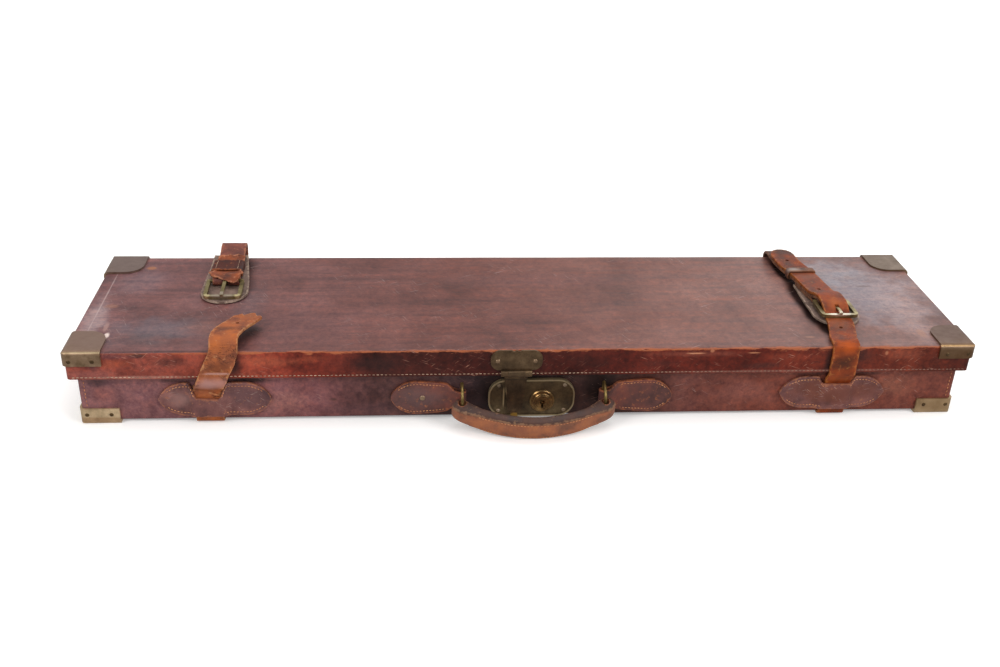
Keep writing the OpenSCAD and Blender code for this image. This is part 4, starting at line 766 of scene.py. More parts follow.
def sliceUp(piece, axis, places):  # straight cuts across one axis, at places in mm
    take(piece, editing=True)
    facing = [0.0, 0.0, 0.0]
    facing[axis] = 1.0
    for place in places:
        spot = [0.0, 0.0, 0.0]
        spot[axis] = place * mm
        bpy.ops.mesh.select_all(action="SELECT")
        bpy.ops.mesh.bisect(plane_co=spot, plane_no=facing)
    bpy.ops.object.mode_set(mode="OBJECT")


def modify(piece, kind, **settings):  # adds a modifier and applies it
    modifier = piece.modifiers.new(kind.lower(), kind)
    for key, value in settings.items():
        setattr(modifier, key, value)
    take(piece)
    bpy.ops.object.modifier_apply(modifier=modifier.name)


def thicken(piece, thick, offset=0.0):
    modify(piece, "SOLIDIFY", thickness=thick * mm, offset=offset, use_even_offset=True)


def softenCuts(piece, edge):  # the cut edges of a ply of hide
    modify(piece, "BEVEL", width=edge * mm, segments=2, limit_method="ANGLE", angle_limit=math.radians(55))


def carve(piece, cutter):  # takes the cutter's shape out of the piece
    modify(piece, "BOOLEAN", operation="DIFFERENCE", solver="EXACT", object=cutter)
    bpy.data.objects.remove(cutter)


def wander(x, y=0.0, z=0.0):
    return noise.noise(Vector((x, y, z)))


def settle(piece, depth, span):  # presses the surface in unevenly, by up to depth mm over patches of span mm
    for vertex, facing in zip(piece.data.vertices, [n.vector.copy() for n in piece.data.vertex_normals]):
        spot = vertex.co / (span * mm)
        vertex.co -= facing * depth * mm * (0.5 + 0.5 * wander(spot.x, spot.y, spot.z))


def finishPiece(piece, body, finishes, nodes=(), smooth=38.0):
    for finish in finishes:
        piece.data.materials.append(finish)
    take(piece)
    bpy.ops.object.shade_smooth_by_angle(angle=math.radians(smooth))
    calm()
    if body:  # a piece given no body is left unattached
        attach(piece, body)
    if nodes:
        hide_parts(*nodes)


def lengthsAlong(line):  # distance of each point from the first
    return np.r_[0, np.cumsum(np.linalg.norm(np.diff(line, axis=0), axis=1))]


def smoothRun(knots, step):  # a smooth curve through the knots, walked in even steps of about step mm
    points = np.array(knots, float)
    points = np.vstack([2 * points[0] - points[1], points, 2 * points[-1] - points[-2]])
    walk = []
    t = np.linspace(0, 1, 16, endpoint=False)[:, None]
    for a, b, c, d in zip(points, points[1:], points[2:], points[3:]):
        walk.append(0.5 * (2 * b + (c - a) * t + (2 * a - 5 * b + 4 * c - d) * t ** 2
                           + (3 * b - a - 3 * c + d) * t ** 3))
    walk = np.vstack(walk + [points[-2:-1]])
    far = lengthsAlong(walk)
    even = np.linspace(0, far[-1], max(3, int(round(far[-1] / step)) + 1))
    return np.column_stack([np.interp(even, far, walk[:, k]) for k in range(points.shape[1])])


def strapRun(side, sway, step=2.0):
    # the side view gives depth and height, the plan view gives the place along the case at each depth
    line = smoothRun(side, step)
    way = smoothRun(sway, 2.0)
    order = np.argsort(way[:, 1])
    return np.column_stack([np.interp(line[:, 0], way[order, 1], way[order, 0]), line])


def markEdge(piece, inside, reach=2.4):  # 1 at a cut edge, 0 from reach mm inside it, for the finish
    near = piece.data.attributes.new("cutEdge", "FLOAT", "POINT")
    near.data.foreach_set("value", np.clip(1 - np.asarray(inside) / reach, 0, 1))


def unroll(piece, laid):  # UVs in metres from each vertex's place on the flat hide
    layer = piece.data.uv_layers.active
    for loop in piece.data.loops:
        layer.data[loop.index].uv = laid[loop.vertex_index]


def layStrap(name, line, width, thick, columns=12, across=None, end=None, crown=0.0, ripple=0.12,
             ragged=0.2, seed=0.0, zone=26.0, edge=0.45, lift=None):
    # a flat grid is laid along the line, its end is cut back, then it gets its thickness and soft edges
    far = lengthsAlong(line)
    run = np.gradient(line, axis=0)
    run /= np.linalg.norm(run, axis=1)[:, None]
    if across is None:
        outward = np.column_stack([np.zeros(len(run)), -run[:, 2], run[:, 1]])
        outward /= np.linalg.norm(outward, axis=1)[:, None]
        sideways = np.cross(run, outward)
    else:
        sideways = np.tile(np.array(across, float), (len(run), 1))
        outward = np.cross(sideways, run)
    piece = addGrid(name, columns, len(line) - 1)
    flat = np.zeros(len(piece.data.vertices) * 3)
    piece.data.vertices.foreach_get("co", flat)
    flat = flat.reshape(-1, 3)
    u = flat[:, 0] * 2
    s = (flat[:, 1] + 0.5) * far[-1]
    if end is not None:
        zone = min(zone, far[-1] * 0.95)
        trim = np.array([end(value) for value in u])
        tail = s > far[-1] - zone
        s[tail] = (far[-1] - zone + (s - far[-1] + zone) * (zone - trim) / zone)[tail]
    widths = np.interp(s, *np.array(width).T) if isinstance(width, (list, tuple)) else np.full(len(s), float(width))
    centre, side, out = (np.column_stack([np.interp(s, far, each[:, k]) for k in range(3)])
                         for each in (line, sideways, outward))
    rim = np.array([wander(a / 6 + seed, b * 3.7, seed) for a, b in zip(s, u)])
    rim = rim * ragged * np.abs(u) ** 3 * np.sign(u)
    waves = np.array([wander(a / 17 + seed * 2, b * 1.1, 4.2) for a, b in zip(s, u)]) * ripple
    rise = waves + crown * (1 - u ** 2)
    if lift is not None:
        rise += np.array([lift(a, b) for a, b in zip(s, u)])
    sideStep = u * widths / 2 + rim
    spots = centre + side * sideStep[:, None] + out * rise[:, None]
    piece.data.vertices.foreach_set("co", (spots * mm).ravel())
    laid = np.column_stack([s, sideStep]) * mm
    inside = widths / 2 - np.abs(u) * widths / 2
    if end is not None:
        inside = np.minimum(inside, far[-1] - s - trim)
    markEdge(piece, inside)
    unroll(piece, laid)
    piece.data.update()
    thicken(piece, thick)
    softenCuts(piece, edge)
    return piece


def punch(piece, place, radius):  # a round upright hole, 12 mm long, place in mm
    calm()
    bpy.ops.mesh.primitive_cylinder_add(vertices=20, radius=radius * mm, depth=12 * mm,
                                        location=[p * mm for p in place])
    carve(piece, bpy.context.object)


needle = np.random.default_rng(threadSeed)


def sewLine(name, routes, body, finish, facts, sunk=0.0):
    # one stitch is modelled, then repeated along each route: (points in mm, the way the surface faces)
    calm()
    bpy.ops.mesh.primitive_uv_sphere_add(segments=8, ring_count=5, radius=0.5)
    stitch = bpy.context.object
    shape = np.array([v.co for v in stitch.data.vertices])[:, [2, 0, 1]]
    shape = shape * [facts["long"], facts["wide"], facts["high"]]
    loops = [list(face.vertices) for face in stitch.data.polygons]
    bpy.data.objects.remove(stitch)
    spots, faces = [], []
    for knots, facing in routes:
        line = smoothRun(knots, facts["pitch"]) if len(knots) > 2 else np.linspace(
            knots[0], knots[1], max(2, int(np.linalg.norm(np.subtract(*knots[:2])) / facts["pitch"]) + 1))
        up = np.array(facing, float)
        for here, there in zip(line, line[1:]):
            run = (there - here) / np.linalg.norm(there - here)
            cross = np.cross(up, run)
            cross /= np.linalg.norm(cross)
            lean = needle.uniform(-1, 1, 2) * facts["wobble"]
            run = run + cross * lean[0] * 0.3
            run /= np.linalg.norm(run)
            cross = np.cross(up, run)
            cross /= np.linalg.norm(cross)
            middle = (here + there) / 2 + cross * lean[1] * 0.4 - up * sunk
            count = len(spots) * len(shape)
            spots.append(middle + shape[:, :1] * run + shape[:, 1:2] * cross + shape[:, 2:] * up)
            faces += [[count + v for v in loop] for loop in loops]
    mesh = bpy.data.meshes.new(name)
    mesh.from_pydata((np.vstack(spots) * mm).tolist(), [], faces)
    thread = bpy.data.objects.new(name, mesh)
    bpy.context.scene.collection.objects.link(thread)
    take(thread, editing=True)
    bpy.ops.mesh.select_all(action="SELECT")
    bpy.ops.mesh.normals_make_consistent(inside=False)
    finishPiece(thread, body, [finish], smooth=60)


caseSize = {  # mm, as the frame gives them
    "half": 406.0, "front": -79.215, "rear": 117.785, "under": 2.6, "seam": 49.0, "rim": 62.0,
    "lidHalf": 412.6, "lidFront": -85.815, "lidLow": 49.3, "lidTop": 76.0,
    "innerHalf": 398.0, "innerFront": -71.215, "innerRear": 109.785,
}
hingePlaces = (-210.0, 0.0, 210.0)
hingeReach = 25.0
hingeCuts = [x + side * hingeReach for x in hingePlaces for side in (-1, 1)]


def atHinge(spot):
    return any(abs(spot.x - x) < hingeReach for x in hingePlaces)


def hideBox(name, low, high, shape, rim, mouth):
    # a box with rounded upright edges and a rounded rim, and its open side taken off
    piece = addBlock(name, low, high)
    roundOff(piece, shape["cornerRound"], 5, lambda spot, run: abs(run.z) > 0.9)
    roundOff(piece, shape["edgeRound"], 4, rim)
    cutOut(piece, mouth)
    return piece


# Hide over the lid

lidHideShape = {"thick": 2.0, "cornerRound": 4.0, "edgeRound": 2.5, "cell": 6.0, "sag": 0.28, "sagSpan": 46.0,
                "levels": (50.8, 55, 59.5, 64, 68.5, 72)}  # the first is the top of the notch at each hinge


def buildLidHide(shape, c):
    low, high = (-c["lidHalf"], c["lidFront"], c["lidLow"]), (c["lidHalf"], c["rear"], c["lidTop"])
    piece = hideBox("lidHide", low, high, shape, lambda spot, run: spot.z > high[2] - 0.1,
                    lambda spot, facing: facing.z < -0.9)
    cell = shape["cell"]
    sliceUp(piece, 0, np.arange(-408 + cell, 408, cell))
    sliceUp(piece, 1, np.arange(low[1] + 3.2, high[1] - 3, cell))
    sliceUp(piece, 2, shape["levels"])
    sliceUp(piece, 0, hingeCuts)
    cutOut(piece, lambda spot, facing: spot.y > high[1] - 1 and spot.z < shape["levels"][0] and atHinge(spot))
    settle(piece, shape["sag"], shape["sagSpan"])
    for face in piece.data.polygons:
        face.material_index = 0 if face.normal.z > 0.6 else 1
    thicken(piece, shape["thick"], -1.0)
    finishPiece(piece, "lid", [lidTopFinish, lidWallFinish], ["lid_leather"], 32)


buildLidHide(lidHideShape, caseSize)

# Hide over the base and its rim

baseHideShape = {"thick": 2.0, "cornerRound": 4.0, "edgeRound": 2.5, "cell": 6.0, "sag": 0.28, "sagSpan": 38.0,
                 "levels": (8, 12.5, 18, 24, 30, 36, 42, 47.5, 49.0, 55),  # the hinge notch and the seam too
                 "lockHole": ((-16.0, 28.0), (12.5, 30.0)), "hingeNotch": 47.5}


def buildBaseHide(shape, c):
    piece = hideBox("baseHide", (-c["half"], c["front"], c["under"]), (c["half"], c["rear"], c["rim"]), shape,
                    lambda spot, run: spot.z < c["under"] + 0.1, lambda spot, facing: facing.z > 0.9)
    cell = shape["cell"]
    sliceUp(piece, 0, np.arange(-402 + cell, 402, cell))
    sliceUp(piece, 1, np.arange(c["front"] + 4, c["innerRear"], cell))
    sliceUp(piece, 1, (c["innerRear"],))
    sliceUp(piece, 2, shape["levels"])
    holeX, holeZ = shape["lockHole"]
    sliceUp(piece, 0, holeX)
    sliceUp(piece, 0, hingeCuts)
    cutOut(piece, lambda spot, facing: (spot.z > c["seam"] and spot.y > c["innerRear"])
           or (spot.y < c["front"] + 1 and holeX[0] < spot.x < holeX[1] and holeZ[0] < spot.z < holeZ[1])
           or (spot.y > c["rear"] - 1 and spot.z > shape["hingeNotch"] and atHinge(spot)))
    settle(piece, shape["sag"], shape["sagSpan"])
    thicken(piece, shape["thick"], -1.0)
    finishPiece(piece, "base", [baseFinish], ["base_leather"], 32)


buildBaseHide(baseHideShape, caseSize)
print("hides stretched over lid and base")

# Baize inside

liningShape = {"thick": 0.9, "low": 9.6, "high": 61.5, "rearHigh": 48.5, "rearStop": 107.785, "cell": 14.0,
               "sag": 0.25, "lid": ((-406.5, -79.7, 69.0), (406.5, 111.7, 70.0)),
               "dividers": {
                   "longDivider": ("long_divider", (-397.0, -8.215, 10.6), (397.0, -3.215, 58.0)),
                   "crossDividerLeft": (None, (82.0, -3.215, 10.6), (87.0, 108.785, 58.0)),
                   "crossDividerRight": ("cross_dividers", (302.0, -3.215, 10.6), (307.0, 108.785, 58.0)),
               }}


def buildLinings(shape, c):
    piece = addBlock("trayLining", (-c["innerHalf"], c["innerFront"], shape["low"]),
                     (c["innerHalf"], c["innerRear"], shape["high"]))
    cutOut(piece, lambda spot, facing: facing.z > 0.9)
    sliceUp(piece, 0, np.arange(-390, 396, shape["cell"]))
    sliceUp(piece, 1, np.append(np.arange(c["innerFront"] + 10, 104, shape["cell"]), shape["rearStop"]))
    sliceUp(piece, 2, (20, 30, 40, shape["rearHigh"], 55))
    cutOut(piece, lambda spot, facing: spot.z > shape["rearHigh"] and spot.y > shape["rearStop"])
    settle(piece, shape["sag"], 30)
    thicken(piece, shape["thick"], -1.0)
    finishPiece(piece, "base", [clothFinish], ["base_lining"], 35)
    for name, (node, low, high) in shape["dividers"].items():
        piece = addBlock(name, low, high)
        roundOff(piece, 1.6, 3, lambda spot, run: spot.z > high[2] - 0.1)
        longWay = 0 if high[0] - low[0] > 20 else 1
        sliceUp(piece, longWay, np.arange(low[longWay] + 9, high[longWay] - 4, 11.0))
        sliceUp(piece, 2, (22, 34, 46))
        settle(piece, 0.22, 24)
        finishPiece(piece, "base", [clothFinish], [node] if node else [], 35)
    piece = addBlock("lidLining", *shape["lid"])
    roundOff(piece, 0.6, 2, lambda spot, run: spot.z < shape["lid"][0][2] + 0.1)
    sliceUp(piece, 0, np.arange(-396, 400, shape["cell"]))
    sliceUp(piece, 1, np.arange(-70, 108, shape["cell"]))
    settle(piece, 0.2, 26)
    finishPiece(piece, "lid", [clothFinish], ["lid_lining"], 35)


buildLinings(liningShape, caseSize)
print("baize laid")

# Loop patches that hold the straps to the base

loopShape = {
    "long": 101.0, "high": 34.0, "tip": 24.0, "middle": 25.0, "thick": 2.2, "step": 1.6,
    "strapHalf": 12.9, "slope": 5.2, "lift": 3.0, "seamInset": 3.4,
}


def loopHalfHeight(shape, x):  # the outline's half height, x mm from the patch's middle
    high = shape["high"] / 2
    flat = shape["long"] / 2 - shape["tip"]
    past = abs(x) - flat
    if past <= 0:
        return high
    rest = (shape["tip"] ** 2 - high ** 2) / (2 * high)
    radius = high + rest
    return max(0.7, math.sqrt(max(radius ** 2 - past ** 2, 0)) - rest)


def overStrap(shape, away):  # how far a patch lifts, away mm outside the strap that it holds
    step = min(max(1 - away / shape["slope"], 0), 1)
    return shape["lift"] * step * step * (3 - 2 * step)


def layPatch(shape, name, middleX, strapX, wall, facing, topOf, nodes, seed):
    # a grid fitted to the outline, pressed to the wall and lifted over the strap
    wide = shape["long"] / 2
    piece = addGrid(name, int(shape["long"] / shape["step"]), 18)
    inside = []
    crowd = math.pi / 2 * 0.86  # the columns stand closer together near the two tips
    for vertex in piece.data.vertices:
        x = wide * math.sin(2 * vertex.co.x * crowd) / math.sin(crowd)
        v = vertex.co.y + 0.5
        half = loopHalfHeight(shape, x) + 0.25 * wander(x / 9 + seed, v * 2)
        low, high = shape["middle"] - half, shape["middle"] + half
        high = min(high, topOf(x + middleX))
        away = abs(x + middleX - strapX) - shape["strapHalf"]
        rise = overStrap(shape, away) + 0.25 * (0.5 + 0.5 * wander(x / 14 + seed, v * 2.3, 3.1))
        vertex.co = Vector((x + middleX, wall + facing * (rise + shape["thick"] / 2), low + (high - low) * v)) * mm
        inside.append(min(v * (high - low), (1 - v) * (high - low), (wide - abs(x)) * 1.4))
    markEdge(piece, inside)
    unroll(piece, [(vertex.co.x, vertex.co.z) for vertex in piece.data.vertices])
    if facing > 0:
        take(piece, editing=True)
        bpy.ops.mesh.select_all(action="SELECT")
        bpy.ops.mesh.flip_normals()
    thicken(piece, shape["thick"])
    softenCuts(piece, 0.5)
    finishPiece(piece, "base", [patchFinish], nodes)


def patchSeam(shape, middleX, strapX, wall, facing, topOf):  # the routes of stitches round a patch
    inset = shape["seamInset"]
    xs = np.linspace(-shape["long"] / 2 + inset * 2.2, shape["long"] / 2 - inset * 2.2, 60)
    routes = []
    for sign in (1, -1):
        route = []
        for x in xs:
            half = loopHalfHeight(shape, x) - inset
            z = shape["middle"] + sign * half
            if sign > 0:
                z = min(z, topOf(x + middleX) - inset + 1.0)
            away = abs(x + middleX - strapX) - shape["strapHalf"]
            rise = overStrap(shape, away) + 0.15
            if away > -1.0:
                route.append((x + middleX, wall + facing * (rise + shape["thick"] + 0.1), z))
            elif route:
                if len(route) > 3:
                    routes.append((route, (0, facing, 0)))
                route = []
        if len(route) > 3:
            routes.append((route, (0, facing, 0)))
    return routes


def leftMouth(x):  # level across the strap, with the two lobes rising steeply beside it
    if -303.0 < x < -281.4:
        return 26.6 - (x + 292.2) * 0.06
    if -281.4 <= x < -274.0:
        return 26.0 + (x + 281.4) * 2.6
    if -307.5 < x <= -303.0:
        return 27.2 + (-303.0 - x) * 3.4
    return 99.0


def rightMouth(x):
    away = abs(x - 289.0)
    return 35.2 + max(0.0, away - 13.0) ** 2 * 0.55


def openTop(x):  # the patch keeps its whole outline
    return 99.0


frontWall, rearWall = caseSize["front"], caseSize["rear"]
fineStitch = {"long": 2.1, "wide": 0.7, "high": 0.55, "pitch": 3.0, "wobble": 0.25}
patches = (  # name, where: middle x, strap x, wall, facing, mouth; nodes that it replaces, seed
    ("loopPatchLeft", (-286.0, -292.0, frontWall, -1, leftMouth), ["front_loop_left"], 1.3),
    ("loopPatchRight", (286.5, 289.0, frontWall, -1, rightMouth), ["front_loop_right"], 5.1),
    ("loopPatchRearLeft", (-292.0, -292.0, rearWall, 1, openTop), ["rear_loops"], 8.4),
    ("loopPatchRearRight", (289.0, 289.0, rearWall, 1, openTop), [], 9.7),
)
for name, where, nodes, seed in patches:
    layPatch(loopShape, name, *where, nodes, seed)
seams = [seam for name, where, nodes, seed in patches for seam in patchSeam(loopShape, *where)]
sewLine("loopPatchThreads", seams, "base", orangeThread, fineStitch)
print("loop patches sewn")

# Handle: two chapes, the grip

handleShape = {
    "x": 2.5, "z": 24.5, "ringY": -83.415, "span": 131.0, "ringRadius": 15.0, "droop": 21.19,
    "reach": 40.0, "thick": 9.8, "wide": 24.0, "knob": 8.6, "ringHole": 3.9,
    "ply": 1.75, "barRound": 4.2,
    "chapeWidths": [(0, 15.2), (5, 16.5), (8, 19), (13, 28), (18, 30.5), (30, 32.6), (42, 34.0), (47, 33.2),
                    (52, 30.0), (56, 25.5), (59.5, 19.5), (62, 13.5), (63.8, 7.5), (64.8, 2.5)],
    "rivet": (-99.0, 24.5, 2.6),  # x, z, radius
}


def buildChape(name, sign, node, shape, seed):
    # one strip: up the wall from the far tip, round the ring's bar and back over itself
    ply = shape["ply"]
    radius = shape["barRound"] - ply / 2
    back, front = frontWall - ply / 2, frontWall - ply * 1.5
    barX = shape["x"] + sign * shape["span"] / 2
    flat = [(64.3, back), (50, back), (30, back), (14, back), (5, back)]
    overBar = [(-radius * math.sin(math.radians(a)), shape["ringY"] + radius * math.cos(math.radians(a)))
              for a in range(15, 181, 15)]
    tail = [(3.2, shape["ringY"] - radius + 0.3), (7.5, frontWall - 5.2), (11.5, front - 0.5), (15, front),
            (30, front), (50, front), (64.8, front)]
    line = smoothRun([(barX + sign * u, y, shape["z"]) for u, y in flat + overBar + tail], 1.0)
    far = lengthsAlong(line)
    reach = sign * (line[:, 0] - barX)
    table = np.array(shape["chapeWidths"])
    widths = [(s, float(np.interp(abs(u), table[:, 0], table[:, 1])) - (0.8 if s < far[-1] / 2 else 0.0))
              for s, u in zip(far, reach)]
    piece = layStrap(name, line, widths, ply, 14, (0, 0, -sign), ripple=0.12, ragged=0.15, seed=seed, edge=0.4)
    finishPiece(piece, "base", [chapeFinish], [node])


buildChape("chapeRight", 1, "handle_chape_right", handleShape, 2.2)
buildChape("chapeLeft", -1, "handle_chape_left", handleShape, 6.1)


def chapeSeams(shape):
    routes = []
    along = np.linspace(15.5, 58.5, 24)
    rise = np.interp(along, *np.array(shape["chapeWidths"]).T) / 2 - 2.6
    for sign in (1, -1):
        barX = shape["x"] + sign * shape["span"] / 2
        for side in (1, -1):
            route = [(barX + sign * u, frontWall - 3.55, shape["z"] + side * up) for u, up in zip(along, rise)]
            routes.append((route, (0, -1, 0)))
    return routes


def addRivet(shape):
    x, z, radius = shape["rivet"]
    calm()
    bpy.ops.mesh.primitive_uv_sphere_add(segments=20, ring_count=10, radius=radius * mm, scale=(1, 0.45, 1),
                                         location=(x * mm, (frontWall - 3.4) * mm, z * mm))
    rivet = bpy.context.object
    rivet.name = "chapeRivet"
    bpy.ops.object.transform_apply(location=True, rotation=True, scale=True)
    finishPiece(rivet, "base", [brassFinish], smooth=35)


sewLine("chapeThreads", chapeSeams(handleShape), "base", orangeThread, fineStitch)
addRivet(handleShape)


def gripBow(shape):  # the grip's middle line is an arc: its depth, half length, radius and half angle
    middle = shape["reach"] - shape["thick"] / 2
    rise = middle - shape["ringRadius"]
    half = shape["span"] / 2
    bow = (half ** 2 + rise ** 2) / (2 * rise)
    return middle, half, bow, math.asin(half / bow)


def drooped(shape, x, y, z):  # from the grip's own axes to the case's, with the handle hanging at rest
    turn = math.radians(shape["droop"])
    return (x + shape["x"], y * math.cos(turn) - z * math.sin(turn) + shape["ringY"],
            y * math.sin(turn) + z * math.cos(turn) + shape["z"])


def buildGrip(shape):
    # a tube of hide over a core, swept in a shallow bow; each end swells round its ring
    middle, half, bow, sweep = gripBow(shape)
    extra = (shape["knob"] - 0.6) / bow
    piece = addGrid("gripHide", 40, 150)
    laid, inside, raised = [], [], []
    for vertex in piece.data.vertices:
        turn = (vertex.co.x + 0.5) * 2 * math.pi
        t = 2 * vertex.co.y
        angle = t * (sweep + extra)
        x = math.sin(angle) * bow
        y = -math.cos(angle) * bow + bow - middle
        fromRing = abs(x) - half  # mm past the ring, negative inside
        swell = min(max(1 - abs(min(fromRing, 0)) / 17.0, 0), 1)
        swell = swell * swell * (3 - 2 * swell)
        deep = shape["thick"] / 2 + (shape["knob"] - 0.5 - shape["thick"] / 2) * swell
        tall = shape["wide"] / 2 + (9.0 - shape["wide"] / 2) * min(max(1 + fromRing / 26.0, 0), 1) ** 1.4
        if fromRing > 0:
            close = math.sqrt(max(1 - (fromRing / shape["knob"]) ** 2, 0.0))
            deep *= max(close, 0.05)
            tall *= 0.80 + 0.20 * close
        power = 0.42 if swell < 0.5 else 0.55  # squarish section
        c, s = math.cos(turn), math.sin(turn)
        a = math.copysign(abs(c) ** power, c) * deep
        b = math.copysign(abs(s) ** power, s) * tall
        b += 0.25 * wander(x / 16, c, s + 2.7)
        a += 0.22 * wander(x / 12, c + 7.7, s)
        inside.append((1 - abs(2 * c * s)) * 9.0)
        raised.append(s)
        vertex.co = Vector(drooped(shape, x + math.sin(angle) * a, y - math.cos(angle) * a, b)) * mm
        laid.append((x * mm, turn * 5 * mm))
    unroll(piece, laid)
    markEdge(piece, inside)
    upper = piece.data.attributes.new("upper", "FLOAT", "POINT")
    upper.data.foreach_set("value", np.clip(raised, 0, 1))
    take(piece, editing=True)
    bpy.ops.mesh.select_all(action="SELECT")
    bpy.ops.mesh.remove_doubles(threshold=0.05 * mm)
    bpy.ops.mesh.fill_holes(sides=0)
    bpy.ops.mesh.select_all(action="SELECT")
    bpy.ops.mesh.normals_make_consistent(inside=False)
    for sign in (1, -1):
        calm()
        bpy.ops.mesh.primitive_torus_add(
            major_segments=64, minor_segments=16, major_radius=shape["ringRadius"] * mm,
            minor_radius=shape["ringHole"] * mm, rotation=(0, math.pi / 2, 0),
            location=[v * mm for v in (shape["x"] + sign * half, shape["ringY"], shape["z"])])
        carve(piece, bpy.context.object)
    finishPiece(piece, "handle", [gripFinish], ["handle_grip"], 50)


buildGrip(handleShape)
print("handle made")

# Straps

strapShape = {
    "wide": 25.0, "thick": 2.6, "leftX": -292.0, "rightX": 289.0, "lean": 24.0,
    "mouthX": -293.4, "mouthZ": 32.0,
    "heelLeft": (-289.0, 45.185, 83.18), "heelRight": (300.5, -5.815, 82.88), "wrap": 3.2,
    "underRoute": [(119.1, 48.4), (119.1, 30), (119.1, 12), (118.9, 4.6), (117.2, 1.9), (113, 1.3), (60, 1.3),
                   (0, 1.3), (-50, 1.3), (-75.6, 1.3), (-79.4, 2.0), (-80.75, 5.2), (-80.8, 12), (-80.8, 22)],
}
lidFront, lidTop = caseSize["lidFront"], caseSize["lidTop"]


def roundTip(radius, half):
    return lambda u: radius - math.sqrt(max(radius ** 2 - (u * half) ** 2, 0.0))


def tornTip(depths, roughness, seed):  # cut back by these depths from edge to edge, with a ragged line
    places = np.linspace(-1, 1, len(depths))
    return lambda u: (float(np.interp(u, places, depths))
                      + roughness * (wander(u * 3.1 + seed) + 0.6 * wander(u * 9 + seed)))


def bentAcross(*folds):  # a crease across the strap at each place: distance along, depth, reach, all mm
    return lambda a, u: -sum(depth * math.exp(-((a - at) / reach) ** 2) for at, depth, reach in folds)


def padWidths(tail, radius=22.5):  # a pad's front end is a half circle, and the tail gives its widths after that
    front = [(d, 2 * math.sqrt(max(radius ** 2 - (radius - min(d + 0.4, radius)) ** 2, 9.0)))
             for d in np.linspace(0, radius, 24)]
    return front + tail


def buildUnderStraps(s):
    for name, x, top, nodes, finish in (
            ("strapUnderLeft", s["leftX"], 39.6, ["strap_under_left"], billetFinish),
            ("strapUnderRight", s["rightX"], 34.6, ["strap_under_right"], rightFinish)):
        line = smoothRun([(x, y, z) for y, z in s["underRoute"] + [(-80.8, top)]], 2.5)
        aslant = (lambda u: 5.8 + u * 5.6) if x < 0 else None  # along the line where the torn piece bends
        piece = layStrap(name, line, s["wide"], s["thick"] - 0.15, end=aslant, ripple=0.06, ragged=0.15, seed=x)
        finishPiece(piece, "base", [finish], nodes)


buildUnderStraps(strapShape)


def buildBilletLeft(s):
    # out of its loop leaning to the right, up past the lid's edge, then folded back with a torn end
    lean = math.radians(s["lean"])
    face = lidFront - 1.7
    low = [(-80.95, 1.3), (-81.1, 2.2), (-82.6, 5.2), (face + 1.2, 10.6), (face, 14.6), (face, 22),
           (face - 0.5, 30.5)]
    knots = [(s["mouthX"] + z * math.sin(lean), y, s["mouthZ"] + z * math.cos(lean)) for y, z in low]
    knots += [(x, face + y, z) for x, y, z in (
        (-277.2, -0.6, 67.5), (-274.8, 0, 74.5), (-273.9, 0.3, 79.4), (-273.5, 1.4, 84.0), (-273.3, 4.6, 87.5),
        (-272.8, 10, 89.2), (-269.0, 22, 89.0), (-262.5, 36, 87.7), (-256.8, 49, 86.6), (-253.2, 57, 86.4))]
    line = smoothRun(knots, 1.5)
    torn = tornTip((13.5, 10.5, 7.0, 9.5, 5.0, 1.0, 0.5, 4.5, 6.0, 3.5, 6.5), 1.0, 3.3)
    piece = layStrap("billetLeft", line, s["wide"], s["thick"], 16, end=torn, ripple=0.25, ragged=0.45,
                     seed=11.0, crown=-0.25, lift=bentAcross((24.5, 0.35, 2.2), (39.5, 0.3, 3.0)))
    punch(piece, (-264.6, face + 32, 88.2), 1.7)
    finishPiece(piece, "billet_left", [billetFinish], ["strap_billet_left"])
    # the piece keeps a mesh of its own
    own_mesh(piece)


buildBilletLeft(strapShape)


def wrapped(heel, under, over, radius):
    # side view of a strap that comes back under the bar, goes round its front and runs to the rear
    y, z = heel[1], heel[2]
    turns = [math.radians(a) for a in range(0, 181, 20)]
    bend = [(y - radius * math.sin(a), z - radius * math.cos(a)) for a in turns]
    return [(y + v, z + h) for v, h in under] + bend + [(y + v, z + h) for v, h in over]


